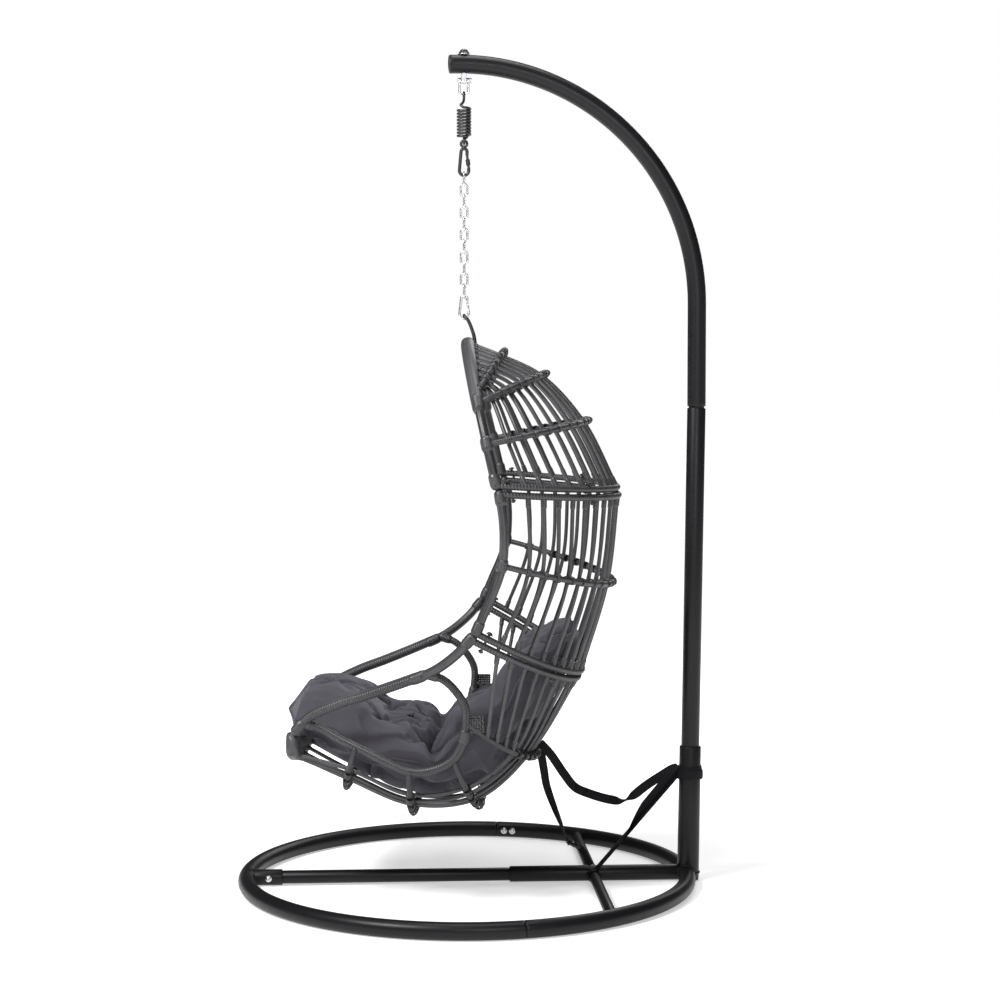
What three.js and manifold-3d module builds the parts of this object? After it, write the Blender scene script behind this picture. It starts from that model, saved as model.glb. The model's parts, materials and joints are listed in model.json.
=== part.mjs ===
// Hanging egg chair: a wicker basket chair in three bolted sections that hangs by a
// spring, two snap hooks and a chain from the arch of a bolted ring stand.
// Millimetres, +Z up, floor at z = 0. The chair faces -Y and X runs across it.
import * as THREE from "three";
import { mergeVertices } from "three/addons/utils/BufferGeometryUtils.js";
import Module from "manifold-3d";

const wasm = await Module();
wasm.setup();

// ---------------------------------------------------------------- driving dimensions
const GAP = 0.3; // clearance between neighbouring pieces
const CUT_GAP = 0.9; // clearance where facets of two bent tubes differ

const RING_Y = -12; // the ring's centre, so that the whole stand is centred on the origin
const RING_RADIUS = 505; // centreline
const RING_TUBE = 19; // tube radius
const RING_BORE = 15.5; // bore of the arcs' ends
const SPIGOT_RADIUS = 14.8;
const SPIGOT_LENGTH = 60;
const SPLIT_ANGLE = Math.asin(98 / RING_RADIUS); // where the rear arc meets the front arcs
const TEE_ANGLE = 0.07; // half the front tee's share of the ring
const BASE_SIDES = 12; // facets round a base tube, one of them flat on the floor
const TUBE_Z = RING_TUBE * Math.cos(Math.PI / BASE_SIDES); // every base tube's centreline

const FRONT_TUBE = 15;
const TEE_SOCKET = { radius: 18, length: 62 };
const REAR_TUBE = 18;
const TELESCOPE_Y = 98; // from the ring's centre: where the front tube enters the rear one
const TELESCOPE_DEPTH = 90;
const CROSS_TUBE = 12.5;
const CROSS_Y = 290;

const POST_TUBE = 21;
const POST_FOOT_Y = 513;
const POST_HEAD_Y = 527;
const POST_JOINT_Z = 1093;
const POST_SPIGOT = { radius: 18, length: 80 };
const SOCKET_OUTER = 25;
const SOCKET_BORE = 21.6;
const SOCKET_TOP_Z = 313;
const POST_FOOT_Z = 70;
const NECK_GAP = 4;

const ARCH_RADIUS = 540;
const ARCH_Z = 1330;
const CAP_SPIGOT = 16;
const CAP_DEPTH = 15;
const ARCH_END_ANGLE = THREE.MathUtils.degToRad(2.5); // the tip passes the top by this much

const HANG_Y = -6; // from the ring's centre: the vertical line that everything hangs on
const CHAIR_TURN = THREE.MathUtils.degToRad(-4.2); // the chair's rest turn about that line
const BOLT = 6; // hanger bolt's shank radius
const LUG = { width: 16, thickness: 12, pinZ: 1833 };
const SHACKLE = { wire: 3, halfWidth: 9.5, bowZ: 1799, pin: 2.9 };
const SPRING = { wire: 3, coil: 14, turns: 9, topZ: 1774, bottomZ: 1704, hook: 7.5 };
const EYE = { wire: 3, radius: 7, z: 1691 }; // the upper snap hook's eye
const UPPER_HOOK = { wire: 4, gate: 3, half: 7, topZ: 1680, bottomZ: 1620 };
const LINK = { wire: 2.5, half: 7.2, count: 11 };
const LOWER_HOOK = { wire: 3, gate: 2.4, topZ: 1349, bottomZ: 1296, halfTop: 6.5, halfBottom: 10.5 };
const LOOP_WIRE = 4; // the chair's hanging loop

const RIM = 10; // wrapped tube radii of the chair
const BAND = 12.5;
const SECTION_RING = 8;
const HOOP = 6.5;
const SPINDLE = 4.5;
const ARM = 11.5;
const SIDE_LOOP = 9;
const SPINDLE_COUNT = 21;
const FIRST_SPINDLE = THREE.MathUtils.degToRad(13.5); // angle of the first spindle on a ring
const HOOP_FIRST_SPINDLE = THREE.MathUtils.degToRad(12); // the same on a hood hoop
const ARCH_FIRST_SPINDLE = THREE.MathUtils.degToRad(38); // and on the arch
const RIB_FIRST_SPINDLE = THREE.MathUtils.degToRad(27); // and on a rib under the seat

// Points on the chair, from the hang line: x across, y towards the back, z above the floor.
const ARCH_FOOT = { x: 390, y: 79, z: 932 };
const ARCH_TOP = { x: 0, y: 8, z: 1242 };
const BAND_ANGLE = THREE.MathUtils.degToRad(34); // the flat-wrapped band starts this far up the arch
const HOOD_SPINES = [{ y: 92, z: 1222 }, { y: 187, z: 1172 }, { y: 283, z: 1066 }];
const HOOD_HOOP_ANGLES = [38, 34, 16].map(THREE.MathUtils.degToRad); // where the hoops leave the arch
const HOOD_RING = { corner: ARCH_FOOT, spine: { y: 347, z: 915 } };
const BACK_TOP = { corner: { x: 390, y: 84, z: 914 }, spine: { y: 350, z: 897 } };
const BACK_MIDDLE = { corner: { x: 392, y: 93, z: 764 }, spine: { y: 339, z: 700 } };
const BACK_BOTTOM = { corner: { x: 386, y: 36, z: 622 }, spine: { y: 268, z: 500 } };
const SEAT_RING = { corner: { x: 385, y: 28, z: 606.5 }, spine: { y: 260, z: 484.5 } };
const REAR_RIB = { corner: { x: 330, y: 20, z: 418 }, spine: { y: 166, z: 311 }, flatness: 2.2 };
const LOW_RIB = { corner: { x: 315, y: -12, z: 337 }, spine: { y: 40, z: 205 }, flatness: 2.5 };
const MIDDLE_RIB = { corner: { x: 300, y: -110, z: 311 }, spine: { y: -108, z: 191 }, flatness: 2.5 };
const FRONT_RIB = { corner: { x: 285, y: -228, z: 360 }, spine: { y: -259, z: 247 }, flatness: 2.5 };
const RAIL = { half: 252, endY: -366, endZ: 366, depth: 34, height: 58, bow: 10, sag: 44 };

const SECTION_BOLT = { radius: 3, head: 6.5, headHeight: 3.5, seat: 2.6 };
const SECTION_BOLT_ANGLES = [6, 47.9, 132.1, 174].map(THREE.MathUtils.degToRad);

// The cushion's middle line from its front edge to the top of its back, as [y, z].
const CUSHION_LINE = [
  [-408, 408],
  [-340, 388],
  [-250, 338],
  [-150, 288],
  [-50, 276],
  [40, 306],
  [110, 380],
  [172, 474],
  [222, 560],
  [242, 612],
];
const CUSHION = {
  thickness: 124,
  widths: [470, 480, 500, 540, 565, 575, 570, 540, 490, 450],
  sideLift: [20, 40, 65, 75, 78, 80, 80, 65, 45, 35],
  sideForward: [0, 0, 0, 0, 10, 35, 70, 95, 95, 90],
  crown: [50, 60, 56, 42, 36, 48, 42, 10, 26, 36], // how much further it rises on the sitter's side
};

const STRAP = { width: 20, thickness: 2.4, bandZ: 245 };
const BASE_LOOP_X = 34; // the strap's lower end goes round the right cross tube here
const CHAIR_TIE = { x: 13, y: 176, z: 305 }; // where both slack legs leave the chair's rear rib

// ---------------------------------------------------------------- materials
function material(color, roughness, metalness) {
  return new THREE.MeshStandardMaterial({ color, roughness, metalness });
}
const POWDER_COAT = material(0x232125, 0.42, 0.3);
const BLACK_STEEL = material(0x161618, 0.35, 0.7);
const ZINC = material(0xc4c6c8, 0.28, 1.0);
const BLACK_PLASTIC = material(0x18181a, 0.5, 0.0);
const WICKER = material(0x47464a, 0.6, 0.0);
const CUSHION_FABRIC = material(0x3e3d42, 0.9, 0.0);
const WEBBING = material(0x141416, 0.85, 0.0);

// ---------------------------------------------------------------- small geometry helpers
const v3 = (x, y, z) => new THREE.Vector3(x, y, z);

function named(name, geometry, look) {
  const mesh = new THREE.Mesh(geometry, look);
  mesh.name = name;
  return mesh;
}

// A geometry as a manifold solid, with its shared vertices merged.
function solid(geometry) {
  const bare = new THREE.BufferGeometry();
  bare.setAttribute("position", geometry.getAttribute("position").clone());
  if (geometry.index) bare.setIndex(geometry.index.clone());
  const merged = mergeVertices(bare, 1e-3);
  return new wasm.Manifold(
    new wasm.Mesh({
      numProp: 3,
      vertProperties: merged.attributes.position.array,
      triVerts: new Uint32Array(merged.index.array),
    }),
  );
}

function geometryOf(manifold) {
  const { vertProperties, triVerts } = manifold.getMesh();
  const geometry = new THREE.BufferGeometry();
  geometry.setAttribute("position", new THREE.BufferAttribute(vertProperties, 3));
  geometry.setIndex(new THREE.BufferAttribute(triVerts, 1));
  geometry.computeVertexNormals();
  return geometry;
}

function joined(geometries) {
  return geometryOf(geometries.map(solid).reduce((all, next) => all.add(next)));
}

function cut(geometry, cutters) {
  return geometryOf(
    cutters.map(solid).reduce((rest, cutter) => rest.subtract(cutter), solid(geometry)),
  );
}

// A round bar along a curve, with flat ends and a facet square to its section's axes.
function bar(curve, radius, sides, steps) {
  const corners = [];
  for (let i = 0; i < sides; i++) {
    const a = ((i + 0.5) / sides) * 2 * Math.PI;
    corners.push(new THREE.Vector2(radius * Math.cos(a), radius * Math.sin(a)));
  }
  const section = new THREE.Shape(corners);
  return new THREE.ExtrudeGeometry(section, { steps, extrudePath: curve });
}

const spline = (points) => new THREE.CatmullRomCurve3(points, false, "centripetal");

// A straight cylinder from one point to another.
function rod(from, to, radius, sides = 16) {
  const along = to.clone().sub(from);
  const geometry = new THREE.CylinderGeometry(radius, radius, along.length(), sides);
  geometry.applyQuaternion(
    new THREE.Quaternion().setFromUnitVectors(v3(0, 1, 0), along.clone().normalize()),
  );
  geometry.translate(...from.clone().add(to).multiplyScalar(0.5).toArray());
  return geometry;
}

// A turned piece about +Z: the profile lists [radius, z].
function turned(profile, sides = 14) {
  const points = profile.map(([r, z]) => new THREE.Vector2(r, z));
  const geometry = new THREE.LatheGeometry(points, sides);
  geometry.rotateX(Math.PI / 2);
  return geometry;
}

// ---------------------------------------------------------------- stand: ring
// An arc of the base ring between two angles, measured about +Z from +X.
class RingArc extends THREE.Curve {
  constructor(from, to) {
    super();
    this.from = from;
    this.to = to;
  }
  getPoint(t, target = new THREE.Vector3()) {
    const a = THREE.MathUtils.lerp(this.from, this.to, t);
    return target.set(RING_RADIUS * Math.cos(a), RING_RADIUS * Math.sin(a), TUBE_Z);
  }
}

const ringPoint = (angle) => new RingArc(angle, angle).getPoint(0);
const SPIGOT_ANGLE = SPIGOT_LENGTH / RING_RADIUS;
const BOLT_ANGLES = [20, 42].map((mm) => SPLIT_ANGLE + mm / RING_RADIUS);

// The outward radial hole that one ring bolt fills, seen from the +X side.
function ringBolt(angle, radius, from, to) {
  const outward = v3(Math.cos(angle), Math.sin(angle), 0);
  const centre = ringPoint(angle);
  return rod(
    centre.clone().addScaledVector(outward, from),
    centre.clone().addScaledVector(outward, to),
    radius,
    8,
  );
}

function rearRing() {
  const arc = bar(new RingArc(SPLIT_ANGLE, Math.PI - SPLIT_ANGLE), RING_TUBE, BASE_SIDES, 26);
  const ends = [SPLIT_ANGLE, Math.PI - SPLIT_ANGLE].map((angle, i) => {
    const inwards = i === 0 ? 1 : -1;
    const past = 0.004 * inwards;
    const depth = (SPIGOT_ANGLE + 0.006) * inwards;
    return bar(new RingArc(angle - past, angle + depth), RING_BORE, BASE_SIDES, 3);
  });
  const holes = BOLT_ANGLES.flatMap((a) => [a, Math.PI - a]).map((a) =>
    ringBolt(a, 3 + GAP, -RING_TUBE - 4, 0),
  );
  return cut(arc, [...ends, ...holes]);
}

// side is +1 for the arc on the +X side and -1 for the other.
function frontRing(side) {
  const gapAngle = GAP / RING_RADIUS;
  const tee = -Math.PI / 2 + TEE_ANGLE + gapAngle;
  const arc = bar(new RingArc(tee, SPLIT_ANGLE - gapAngle), RING_TUBE, BASE_SIDES, 16);
  const spigot = bar(
    new RingArc(SPLIT_ANGLE - 0.03, SPLIT_ANGLE + SPIGOT_ANGLE),
    SPIGOT_RADIUS,
    BASE_SIDES,
    3,
  );
  const holes = BOLT_ANGLES.map((a) => ringBolt(a, 3 + GAP, -RING_TUBE, GAP));
  const teeBore = bar(new RingArc(tee - 0.01, tee + 0.06), RING_BORE, BASE_SIDES, 2);
  const geometry = cut(joined([arc, spigot]), [...holes, teeBore]);
  if (side < 0) mirrorX(geometry);
  return geometry;
}

// Mirrors a geometry in the plane x = 0 and keeps its faces outward.
function mirrorX(geometry) {
  geometry.scale(-1, 1, 1);
  const order = geometry.index.array;
  for (let i = 0; i < order.length; i += 3) {
    [order[i + 1], order[i + 2]] = [order[i + 2], order[i + 1]];
  }
}

function frontTee() {
  const middle = -Math.PI / 2;
  const run = bar(new RingArc(middle - TEE_ANGLE, middle + TEE_ANGLE), RING_TUBE, BASE_SIDES, 2);
  const reach = TEE_ANGLE + 0.05;
  const spigots = bar(
    new RingArc(middle - reach, middle + reach),
    SPIGOT_RADIUS,
    BASE_SIDES,
    4,
  );
  const mouth = v3(0, -RING_RADIUS + RING_TUBE + TEE_SOCKET.length, TUBE_Z);
  const socket = rod(v3(0, -RING_RADIUS, TUBE_Z), mouth, TEE_SOCKET.radius);
  const bore = rod(
    v3(0, -RING_RADIUS + RING_TUBE, TUBE_Z),
    mouth.clone().add(v3(0, 5, 0)),
    FRONT_TUBE + GAP,
  );
  const boltHole = teeBolt(3 + GAP, 0);
  return cut(joined([run, spigots, socket]), [bore, boltHole]);
}

// The bolt across the tee's socket, its head on the +X side.
function teeBolt(radius, head) {
  const y = -RING_RADIUS + RING_TUBE + TEE_SOCKET.length / 2;
  const reach = TEE_SOCKET.radius + 3;
  const shank = rod(v3(-reach, y, TUBE_Z), v3(reach, y, TUBE_Z), radius, 8);
  if (head === 0) return shank;
  return joined([shank, rod(v3(reach - 2.6, y, TUBE_Z), v3(reach + 1.5, y, TUBE_Z), head, 10)]);
}

function frontCentreTube() {
  const start = -RING_RADIUS + RING_TUBE + GAP;
  const tube = rod(
    v3(0, start, TUBE_Z),
    v3(0, TELESCOPE_Y + TELESCOPE_DEPTH, TUBE_Z),
    FRONT_TUBE,
  );
  return cut(tube, [teeBolt(3 + GAP, 0)]);
}

function rearCentreTube() {
  const ring = bar(new RingArc(1.2, Math.PI - 1.2), RING_TUBE + CUT_GAP, BASE_SIDES, 8);
  const tube = rod(v3(0, TELESCOPE_Y, TUBE_Z), v3(0, RING_RADIUS, TUBE_Z), REAR_TUBE);
  const bore = rod(
    v3(0, TELESCOPE_Y - 5, TUBE_Z),
    v3(0, TELESCOPE_Y + TELESCOPE_DEPTH + 5, TUBE_Z),
    FRONT_TUBE + GAP,
  );
  return cut(tube, [bore, ring]);
}

function crossTube(side) {
  const reach = Math.sqrt(RING_RADIUS ** 2 - CROSS_Y ** 2);
  const ring = bar(new RingArc(0.2, 1.2), RING_TUBE + CUT_GAP, BASE_SIDES, 12);
  const tube = rod(
    v3(REAR_TUBE + GAP, CROSS_Y, TUBE_Z),
    v3(reach, CROSS_Y, TUBE_Z),
    CROSS_TUBE,
    14,
  );
  const geometry = cut(tube, [ring]);
  if (side < 0) mirrorX(geometry);
  return geometry;
}

// A ring-joint bolt: a low head on the ring's inner side and a shank into the spigot.
function ringJointBolt(angle) {
  const head = ringBolt(angle, 6, -RING_TUBE - 3.9, -RING_TUBE - CUT_GAP);
  const shank = ringBolt(angle, 3, -RING_TUBE - 1, 0);
  return joined([head, shank]);
}

// ---------------------------------------------------------------- stand: post and arch
const postY = (z) =>
  POST_FOOT_Y + ((POST_HEAD_Y - POST_FOOT_Y) * (z - POST_FOOT_Z)) / (POST_JOINT_Z - POST_FOOT_Z);
const postPoint = (z) => v3(0, postY(z), z);

function postSocket() {
  const body = rod(postPoint(TUBE_Z), postPoint(SOCKET_TOP_Z), SOCKET_OUTER);
  const bore = rod(postPoint(POST_FOOT_Z - 4), postPoint(SOCKET_TOP_Z + 10), SOCKET_BORE);
  const ring = bar(new RingArc(1.4, Math.PI - 1.4), RING_TUBE + CUT_GAP, BASE_SIDES, 6);
  const centreTube = rod(v3(0, 400, TUBE_Z), v3(0, 505, TUBE_Z), REAR_TUBE + GAP);
  const floor = new THREE.BoxGeometry(120, 200, 2 * TUBE_Z);
  floor.translate(0, POST_FOOT_Y, 0);
  return cut(body, [bore, ring, centreTube, floor]);
}

function lowerPost() {
  const tube = rod(postPoint(POST_FOOT_Z), postPoint(POST_JOINT_Z), POST_TUBE);
  const bore = rod(
    postPoint(POST_JOINT_Z - POST_SPIGOT.length - 4),
    postPoint(POST_JOINT_Z + 5),
    POST_SPIGOT.radius + GAP,
  );
  return cut(tube, [bore]);
}

// The arch: from the top of the straight leg to just past its highest point.
class Arch extends THREE.Curve {
  getPoint(t, target = new THREE.Vector3()) {
    const a = t * (Math.PI / 2 + ARCH_END_ANGLE);
    const y = POST_HEAD_Y - ARCH_RADIUS * (1 - Math.cos(a));
    return target.set(0, y, ARCH_Z + ARCH_RADIUS * Math.sin(a));
  }
}

function upperTubePath() {
  const path = new THREE.CurvePath();
  const curve = new Arch();
  path.add(new THREE.LineCurve3(postPoint(POST_JOINT_Z + NECK_GAP), curve.getPoint(0)));
  path.add(curve);
  return path;
}

const archTip = () => ({ point: new Arch().getPoint(1), out: new Arch().getTangent(1) });
const ARCH_TOP_Z = ARCH_Z + ARCH_RADIUS; // centreline height above the hang line

function upperArch() {
  const tube = bar(upperTubePath(), POST_TUBE, 12, 24);
  const spigot = rod(
    postPoint(POST_JOINT_Z - POST_SPIGOT.length),
    postPoint(POST_JOINT_Z + 30),
    POST_SPIGOT.radius,
  );
  const tip = archTip();
  const plug = rod(
    tip.point.clone().addScaledVector(tip.out, -CAP_DEPTH - 1),
    tip.point.clone().addScaledVector(tip.out, 5),
    CAP_SPIGOT + CUT_GAP,
  );
  const boltHole = rod(
    v3(0, HANG_Y, ARCH_TOP_Z - 60),
    v3(0, HANG_Y, ARCH_TOP_Z + 60),
    BOLT + GAP,
    12,
  );
  return cut(joined([tube, spigot]), [plug, boltHole]);
}

function archEndCap() {
  const tip = archTip();
  const profile = [
    [0, -CAP_DEPTH],
    [CAP_SPIGOT, -CAP_DEPTH],
    [CAP_SPIGOT, CUT_GAP],
    [POST_TUBE, CUT_GAP],
    [POST_TUBE - 1.5, 3],
    [0, 5.8],
  ];
  const cap = turned(profile);
  cap.applyQuaternion(new THREE.Quaternion().setFromUnitVectors(v3(0, 0, 1), tip.out));
  cap.translate(...tip.point.toArray());
  return cap;
}

// ---------------------------------------------------------------- hanger, about x = y = 0
// The hanger bolt: a shank through the arch and a cross-drilled lug below it.
function lugBolt() {
  const collarZ = ARCH_TOP_Z - POST_TUBE - 2 * GAP;
  const shank = rod(v3(0, 0, collarZ - 4), v3(0, 0, ARCH_TOP_Z + POST_TUBE + 8), BOLT, 12);
  const lug = new THREE.BoxGeometry(LUG.width, LUG.thickness, collarZ - LUG.pinZ);
  lug.translate(0, 0, (collarZ + LUG.pinZ) / 2);
  const half = LUG.thickness / 2;
  const round = rod(v3(0, -half, LUG.pinZ), v3(0, half, LUG.pinZ), LUG.width / 2, 16);
  return cut(joined([shank, lug, round]), [pinHole()]);
}

const pinHole = () =>
  rod(v3(0, -20, LUG.pinZ), v3(0, 20, LUG.pinZ), SHACKLE.pin + GAP, 12);

function hangerWasher() {
  const low = ARCH_TOP_Z + POST_TUBE + GAP;
  const inner = BOLT + GAP;
  const outer = 14;
  const high = low + 1.6;
  return turned([[inner, low], [outer, low], [outer, high], [inner, high], [inner, low]]);
}

function domedNut() {
  const low = ARCH_TOP_Z + POST_TUBE + 2.2;
  const bore = BOLT + GAP;
  const roof = low + 7;
  return turned([
    [bore, low],
    [11.5, low],
    [11.5, low + 4],
    [8.5, low + 8.5],
    [0, low + 10.2],
    [0, roof],
    [bore, roof],
    [bore, low],
  ]);
}

// The D-shackle: two eared legs and a bow, in the plane x = 0.
function shackle() {
  const { wire, halfWidth, bowZ } = SHACKLE;
  const centreZ = bowZ + halfWidth;
  const points = [v3(0, -halfWidth, LUG.pinZ)];
  for (let i = 0; i <= 8; i++) {
    const a = Math.PI * (1 + i / 8);
    points.push(v3(0, halfWidth * Math.cos(a), centreZ + halfWidth * Math.sin(a)));
  }
  points.push(v3(0, halfWidth, LUG.pinZ));
  const bow = bar(spline(points), wire, 6, 16);
  const ears = [-1, 1].map((side) =>
    rod(
      v3(0, side * (LUG.thickness / 2 + GAP), LUG.pinZ),
      v3(0, side * (halfWidth + wire), LUG.pinZ),
      6,
      14,
    ),
  );
  return cut(joined([bow, ...ears]), [pinHole()]);
}

function shacklePin() {
  const end = SHACKLE.halfWidth + SHACKLE.wire;
  const shaft = rod(v3(0, -end - 1, LUG.pinZ), v3(0, end + 6, LUG.pinZ), SHACKLE.pin, 12);
  const head = rod(v3(0, -end - 3, LUG.pinZ), v3(0, -end - GAP, LUG.pinZ), 5, 8);
  return joined([shaft, head]);
}

function shackleNut() {
  const start = SHACKLE.halfWidth + SHACKLE.wire + GAP;
  const nut = rod(v3(0, start, LUG.pinZ), v3(0, start + 4.5, LUG.pinZ), 5.6, 6);
  return cut(nut, [pinHole()]);
}

// The extension spring: a hook over the shackle's bow, the closed coil, a hook below.
const SPRING_TOP_HOOK_Z = SHACKLE.bowZ + SHACKLE.wire + SPRING.wire + CUT_GAP - SPRING.hook;
const SPRING_LOW_HOOK_Z = EYE.z + EYE.radius - EYE.wire - SPRING.wire - CUT_GAP + SPRING.hook;

function springHook(centreZ, up) {
  const points = [];
  for (let i = 0; i <= 6; i++) {
    const a = THREE.MathUtils.degToRad(-50 + (i / 6) * 260);
    points.push(v3(SPRING.hook * Math.cos(a), 0, centreZ + up * SPRING.hook * Math.sin(a)));
  }
  return points;
}

function spring() {
  const { wire, coil, turns, topZ, bottomZ } = SPRING;
  const stepsPerTurn = 8;
  const points = springHook(SPRING_TOP_HOOK_Z, 1);
  points.push(v3(1, -2, topZ + 10), v3(9, -7, topZ + 3));
  const total = turns * stepsPerTurn;
  for (let i = 0; i <= total; i++) {
    const a = (i / stepsPerTurn) * 2 * Math.PI;
    const z = THREE.MathUtils.lerp(topZ - wire, bottomZ + wire, i / total);
    points.push(v3(coil * Math.cos(a), coil * Math.sin(a), z));
  }
  points.push(v3(9, 7, bottomZ + 1));
  points.push(...springHook(SPRING_LOW_HOOK_Z, -1).reverse());
  return bar(new THREE.CatmullRomCurve3(points, false, "centripetal"), wire, 5, total + 20);
}

// A snap hook's body in the plane x = 0, open on its +Y side where the gate closes it.
function hookBody({ wire, half, halfTop = half, halfBottom = half, topZ, bottomZ }, gateTopZ, noseZ) {
  const topCentre = topZ - halfTop;
  const bottomCentre = bottomZ + halfBottom;
  const points = [v3(0, halfTop, gateTopZ)];
  for (let i = 0; i <= 8; i++) {
    const a = (i / 8) * Math.PI;
    points.push(v3(0, halfTop * Math.cos(a), topCentre + halfTop * Math.sin(a)));
  }
  for (let i = 0; i <= 8; i++) {
    const a = Math.PI * (1 + i / 8);
    points.push(v3(0, halfBottom * Math.cos(a), bottomCentre + halfBottom * Math.sin(a)));
  }
  points.push(v3(0, halfBottom, noseZ));
  return bar(spline(points), wire, 6, 20);
}

const UPPER_GATE = { top: 1666, nose: 1633, sleeveTop: 1657, sleeveBottom: 1641 };
const LOWER_GATE = { top: 1336, nose: 1312 };
const GATE_ROOM = 1.2; // space above a gate, so that it can turn about its top end

function upperSnapHook() {
  const eye = new THREE.TorusGeometry(EYE.radius, EYE.wire, 6, 14);
  eye.rotateY(Math.PI / 2);
  eye.translate(0, 0, EYE.z);
  return joined([hookBody(UPPER_HOOK, UPPER_GATE.top, UPPER_GATE.nose), eye]);
}

function upperSnapGate() {
  const y = UPPER_HOOK.half;
  const { top, nose, sleeveTop, sleeveBottom } = UPPER_GATE;
  const pin = rod(v3(0, y, nose + GAP), v3(0, y, top - GATE_ROOM), UPPER_HOOK.gate, 8);
  const sleeve = rod(v3(0, y, sleeveBottom), v3(0, y, sleeveTop), UPPER_HOOK.gate + 1.6, 10);
  return joined([pin, sleeve]);
}

function lowerSnapHook() {
  return hookBody(LOWER_HOOK, LOWER_GATE.top, LOWER_GATE.nose);
}

function lowerSnapGate() {
  const { halfTop, halfBottom, gate } = LOWER_HOOK;
  const from = v3(0, halfTop, LOWER_GATE.top);
  const to = v3(0, halfBottom, LOWER_GATE.nose);
  const along = to.clone().sub(from).normalize();
  return rod(
    from.addScaledVector(along, GATE_ROOM),
    to.addScaledVector(along, -2 * GAP),
    gate,
    8,
  );
}

// The chain: links a quarter turn apart, each resting in the one above.
const CHAIN_TOP = UPPER_HOOK.bottomZ + UPPER_HOOK.wire + LINK.wire + CUT_GAP;
const CHAIN_BOTTOM = LOWER_HOOK.topZ - LOWER_HOOK.wire - LINK.wire - CUT_GAP;
const LINK_OVERLAP = 2 * LINK.wire + 1.2;
const LINK_LENGTH = (CHAIN_TOP - CHAIN_BOTTOM + (LINK.count - 1) * LINK_OVERLAP) / LINK.count;

// A link is a ring whose two halves are drawn apart, so that its sides are straight.
function chainLink(index) {
  const segments = 10;
  const top = CHAIN_TOP - index * (LINK_LENGTH - LINK_OVERLAP);
  const radius = LINK.half / Math.cos(Math.PI / segments);
  const link = new THREE.TorusGeometry(radius, LINK.wire, 5, segments);
  link.rotateZ(Math.PI / segments);
  const position = link.attributes.position;
  const stretch = LINK_LENGTH / 2 - radius;
  for (let i = 0; i < position.count; i++) {
    position.setY(i, position.getY(i) + Math.sign(position.getY(i)) * stretch);
  }
  link.rotateX(Math.PI / 2);
  if (index % 2) link.rotateZ(Math.PI / 2);
  link.translate(0, 0, top - LINK_LENGTH / 2);
  return link;
}

// ---------------------------------------------------------------- chair: curves of the shell
// A rib from side to side: half a superellipse from its corner (angle 0) through its spine
// (a quarter turn) to the mirrored corner. Flatness 2 is an ellipse; more is squarer.
class Rib extends THREE.Curve {
  constructor({ corner, spine, flatness = 2 }) {
    super();
    Object.assign(this, { corner, spine, flatness });
  }
  at(angle) {
    const power = 2 / this.flatness;
    const c = Math.cos(angle);
    const across = Math.sign(c) * Math.abs(c) ** power;
    const down = Math.sin(Math.min(Math.max(angle, 0), Math.PI)) ** power;
    const { corner, spine } = this;
    return v3(
      corner.x * across,
      THREE.MathUtils.lerp(corner.y, spine.y, down),
      THREE.MathUtils.lerp(corner.z, spine.z, down),
    );
  }
  getPoint(t) {
    return this.at(t * Math.PI);
  }
  // The place of a spindle that passes just inside this rib.
  inside(angle) {
    const point = this.at(angle);
    const tangent = this.at(angle + 0.01).sub(this.at(angle - 0.01)).normalize();
    const inward = v3(0, this.corner.y, this.corner.z).sub(point);
    inward.addScaledVector(tangent, -inward.dot(tangent)).normalize();
    return point.addScaledVector(inward, HOOP + SPINDLE + CUT_GAP);
  }
}

const ARCH_SPAN = { corner: ARCH_FOOT, spine: ARCH_TOP };
const arch = new Rib(ARCH_SPAN);
const hoodHoops = HOOD_SPINES.map(
  (spine, i) => new Rib({ corner: arch.at(HOOD_HOOP_ANGLES[i]), spine }),
);

// A stretch of a rib between two angles.
function ribPart(rib, from, to) {
  const points = [];
  for (let i = 0; i <= 16; i++) points.push(rib.at(THREE.MathUtils.lerp(from, to, i / 16)));
  return spline(points);
}

// The angle on a rib of spindle k, when the first one is at `first`.
const spindleAngle = (k, first, count = SPINDLE_COUNT) =>
  THREE.MathUtils.lerp(first, Math.PI - first, k / (count - 1));


function hoodFrame() {
  const ring = new Rib(HOOD_RING);
  const pieces = [
    bar(arch, RIM - 0.5, 6, 22),
    bar(ribPart(arch, BAND_ANGLE, Math.PI - BAND_ANGLE), BAND, 6, 14),
    bar(ring, SECTION_RING, 6, 18),
    ...hoodHoops.map((hoop) => bar(hoop, HOOP, 4, 12)),
  ];
  for (let k = 0; k < SPINDLE_COUNT; k++) {
    const onHoops = hoodHoops.map((hoop) => hoop.inside(spindleAngle(k, HOOP_FIRST_SPINDLE)));
    const start = arch.at(spindleAngle(k, ARCH_FIRST_SPINDLE));
    const points = [start, ...onHoops, ring.at(spindleAngle(k, FIRST_SPINDLE))];
    pieces.push(bar(spline(points), SPINDLE, 3, 6));
  }
  return cut(joined(pieces), boltHoles(HOOD_RING, BACK_TOP));
}

function sideRim(side) {
  const points = [
    [390, 86, 914],
    [393, 94, 861],
    [394, 96, 815],
    [392, 92, 765],
    [390, 78, 720],
    [387, 58, 674],
    [386, 37, 624],
  ].map(([x, y, z]) => v3(side * x, y, z));
  return bar(spline(points), RIM, 6, 9);
}

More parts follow.
